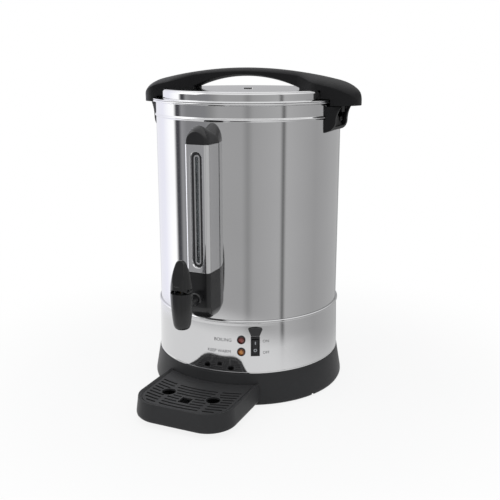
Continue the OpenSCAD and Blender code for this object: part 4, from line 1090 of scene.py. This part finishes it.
points = []
faces = []
arc_steps, hook_start, hook_sweep = 6, -6.4, 3.8
for side in (0, 180):
    for inner, outer, low, high in ((158, 161, 440.9, 480), (151.6, 159, 440.9, 443.9)):
        first = len(points)
        for i in range(arc_steps + 1):
            a = math.radians(side + hook_start + hook_sweep * i / arc_steps)
            for radius, z in ((inner, low), (outer, low), (outer, high), (inner, high)):
                points.append((radius * math.cos(a), radius * math.sin(a), z))
        faces += [tuple(range(first, first + 4)), tuple(range(len(points) - 4, len(points)))]
        for i in range(arc_steps):
            row = first + 4 * i
            faces += [(row + j, row + (j + 1) % 4, row + 4 + (j + 1) % 4, row + 4 + j) for j in range(4)]
hooks = solid("lid_hooks", points, faces)
dress(hooks, filled, "lid", "black_plastic", "lid_handle")

handle_screws = scatter(
    "handle_screw_set", screw,
    [((side * 112.4, 0, 471.5), (0, 0, -1)) for side in (-1, 1)],
    width=4, height=2.4, turn=3, material=zinc,
)
dress(handle_screws, zinc, "lid", "plain_steel", "handle_screws")

# Drip tray. A black moulded bowl whose back fits round the base ring. It stands on four pads, and two
# tongues at its back push into the base. A ledge inside its sloping rim carries the grille.

# Steps in from each end of the back, closer together where the rim slopes
back_offsets = [0, 0.4, 0.8, 1.3, 1.9, 2.6, 3.4, 4.2, 5, 5.8, 7, 9, 12, 16, 21, 27, 34, 42, 51, 60]


def tray_line(inset, back):
    """Plan of the tray drawn in by an inset, with its back on a radius; flags the points at the back."""
    half_width, front, corner = 76.5 - inset, 262.5 - inset, 41 - inset
    right = []
    corner_steps = 28
    for i in range(corner_steps + 1):
        a = math.pi / 2 * i / corner_steps
        x = half_width - corner + corner * math.sin(a)
        right.append((x, corner - front - corner * math.cos(a), False))
    end = -math.sqrt(back * back - half_width * half_width)
    start = corner - front
    right += [(half_width, start + (end - start) * i / 10, False) for i in range(1, 10)]
    for offset in back_offsets:
        x = half_width - offset
        right.append((x, -math.sqrt(back * back - x * x), True))
    middle = (0, -back, True)
    return right + [middle] + [(-x, y, flag) for x, y, flag in reversed(right)]


def bowl(name, levels):
    """Closed solid through plans of the tray at (height, inset, back radius), with its ends filled."""
    rings = []
    for z, inset, back in levels:
        ring = []
        for x, y, at_back in tray_line(inset, back):
            # The rim's slope runs on to the back, and the band between the slopes lies 2 mm lower
            slope = 35 + 2 * min(1, max(0, (abs(x) - 70.9) / 3.8))
            ring.append((x, y, min(z, slope) if at_back else z))
        rings.append(ring)
    return skin(name, rings, 38)


tray = bowl("tray_bowl", [
    (6, 4, 158.8),
    (6.4, 2.6, 158.8),
    (7.5, 0.6, 158.8),
    (8.6, -1.2, 158.7),
    (10, -2.5, 158.5),
    (12, -2.95, 158.1),
    (14, -3, 157.8),
    (20, -2.22, 156.7),
    (28, -1.17, 155.3),
    (36.2, -0.1, 154.1),
    (36.7, 0.05, 154.1),
    (37, 0.45, 154.3),
    (37, 1.5, 156),
    (36.9, 1.9, 158),
    (35.9, 3.8, 161),
    (35.1, 5.3, 164),
    (34.8, 5.6, 164.4),
    (32.2, 5.6, 164.4),
    (32, 5.8, 164.6),
    (32, 8.4, 167.2),
    (31.8, 8.6, 167.4),
    (12.5, 8.6, 167.4),
    (10, 9.2, 168),
    (8.9, 10.3, 169.1),
    (8.5, 11.6, 170.4),
])
dress(tray, black, "tray", "black_plastic", "drip_tray")
for name, side in (("right_tongue", 1), ("left_tongue", -1)):
    middle = side * tongue_x
    tongue = block(name, (middle - 7, -158.5, 10.3), (middle + 7, -140.3, 13.7))
    round_edges(tongue, 0.8, 3)
    soften(tongue)
    dress(tongue, black, "tray", "black_plastic", "drip_tray")
pad = lathe("pad", rounded([(0, 0, 0), (1, 0, 0.1), (1, 1, 0), (0, 1, 0)], 4), turns=48)
pads = scatter(
    "tray_pads", pad,
    [((side * 47.4, y, 0), (0, 0, 1)) for side in (-1, 1) for y in (-230.5, -174.8)],
    width=5, height=7.5, turn=0, material=black,
)
bpy.data.objects.remove(pad)
dress(pads, black, "tray", "black_plastic", "drip_tray")

# Grille. A flat black moulding with nine curved rows of slots, two finger holes and a square drain
# hole under the spout. Its tree cuts a slot along each of the lines that it is given.
slotted, given, slot_inputs = new_tree("slots_in_plate", [
    ("Lines", "NodeSocketGeometry"),
    ("Plate", "NodeSocketObject"),
    ("Slot Width", "NodeSocketFloat"),
    ("Slot Depth", "NodeSocketFloat"),
    ("Finish", "NodeSocketMaterial"),
])
plate_shape = add(slotted, "GeometryNodeObjectInfo", {"Object": given["Plate"]})
paths = add(slotted, "GeometryNodeMeshToCurve", {"Mesh": given["Lines"]})
level = add(slotted, "GeometryNodeSetCurveNormal", {"Curve": paths}, mode="Z_UP")
end_on = add(
    slotted, "GeometryNodeCurvePrimitiveQuadrilateral",
    {"Width": given["Slot Width"], "Height": given["Slot Depth"]},
)
cutters = add(slotted, "GeometryNodeCurveToMesh", {
    "Curve": level,
    "Profile Curve": end_on,
    "Fill Caps": True,
})
sawn = add(
    slotted, "GeometryNodeMeshBoolean",
    {"Mesh 1": plate_shape.outputs["Geometry"], "Mesh 2": cutters},
    operation="DIFFERENCE", solver="EXACT",
)
end_tree(slotted, sawn, given["Finish"])

plate = skin("plate", [[(x, y, z) for x, y, _ in tray_line(6, 164.8)] for z in (32, 35)])
finger_x, finger_y, drain_y = 37, -210.1, -227.1
finger_radius, drain_half, margin = 10.5, 8.5, 2.5
tools = [
    block("drain", (-drain_half, drain_y - drain_half, 20), (drain_half, drain_y + drain_half, 50))
]
for side in (-1, 1):
    over = Matrix.Translation((side * finger_x / 1000, finger_y / 1000, 0))
    tools.append(drill("finger", finger_radius, 20, 50, 64, over))
cut(plate, tools)
rib_near, rib_far = 32, 38
border_x, border_y, corner_reach = 66, -252, 30.5


def open_at(x, y):
    """Whether a slot may pass here: between the ribs, inside the border and clear of the holes."""
    across = abs(x)
    if rib_near <= across <= rib_far or across > border_x or y < border_y:
        return False
    beyond_x, beyond_y = across - border_x + corner_reach, border_y + corner_reach - y
    if beyond_x > 0 and beyond_y > 0 and math.hypot(beyond_x, beyond_y) > corner_reach:
        return False
    if math.hypot(across - finger_x, y - finger_y) < finger_radius + margin:
        return False
    return not (across < drain_half + margin and abs(y - drain_y) < drain_half + margin)


# Each row is walked in short steps, and each open run that is long enough becomes a slot
stops, edges = [], []
row_count, first_row, row_pitch = 9, 186.1, 8.1
step, half_steps, shortest, stride = 0.25, 300, 12, 8
for row in range(row_count):
    radius = first_row + row_pitch * row
    run = []
    for i in range(-half_steps, half_steps + 2):
        x = i * step
        y = -math.sqrt(radius * radius - x * x)
        if open_at(x, y):
            run.append((x, y, 33.5))
            continue
        if len(run) > shortest:
            kept = run[::stride] + ([run[-1]] if (len(run) - 1) % stride else [])
            edges += [(len(stops) + k, len(stops) + k + 1) for k in range(len(kept) - 1)]
            stops += kept
        run = []
mesh = bpy.data.meshes.new("tray_top")
mesh.from_pydata([Vector(p) / 1000 for p in stops], edges, [])
grille = placed("tray_top", mesh)
values = {"Plate": plate, "Slot Width": 0.0033, "Slot Depth": 0.02, "Finish": black}
run_tree(grille, slotted, slot_inputs, values)
bpy.data.objects.remove(plate)
soften(grille)
dress(grille, black, "grille", "black_plastic", "tray_grille")
bpy.data.objects.remove(screw)
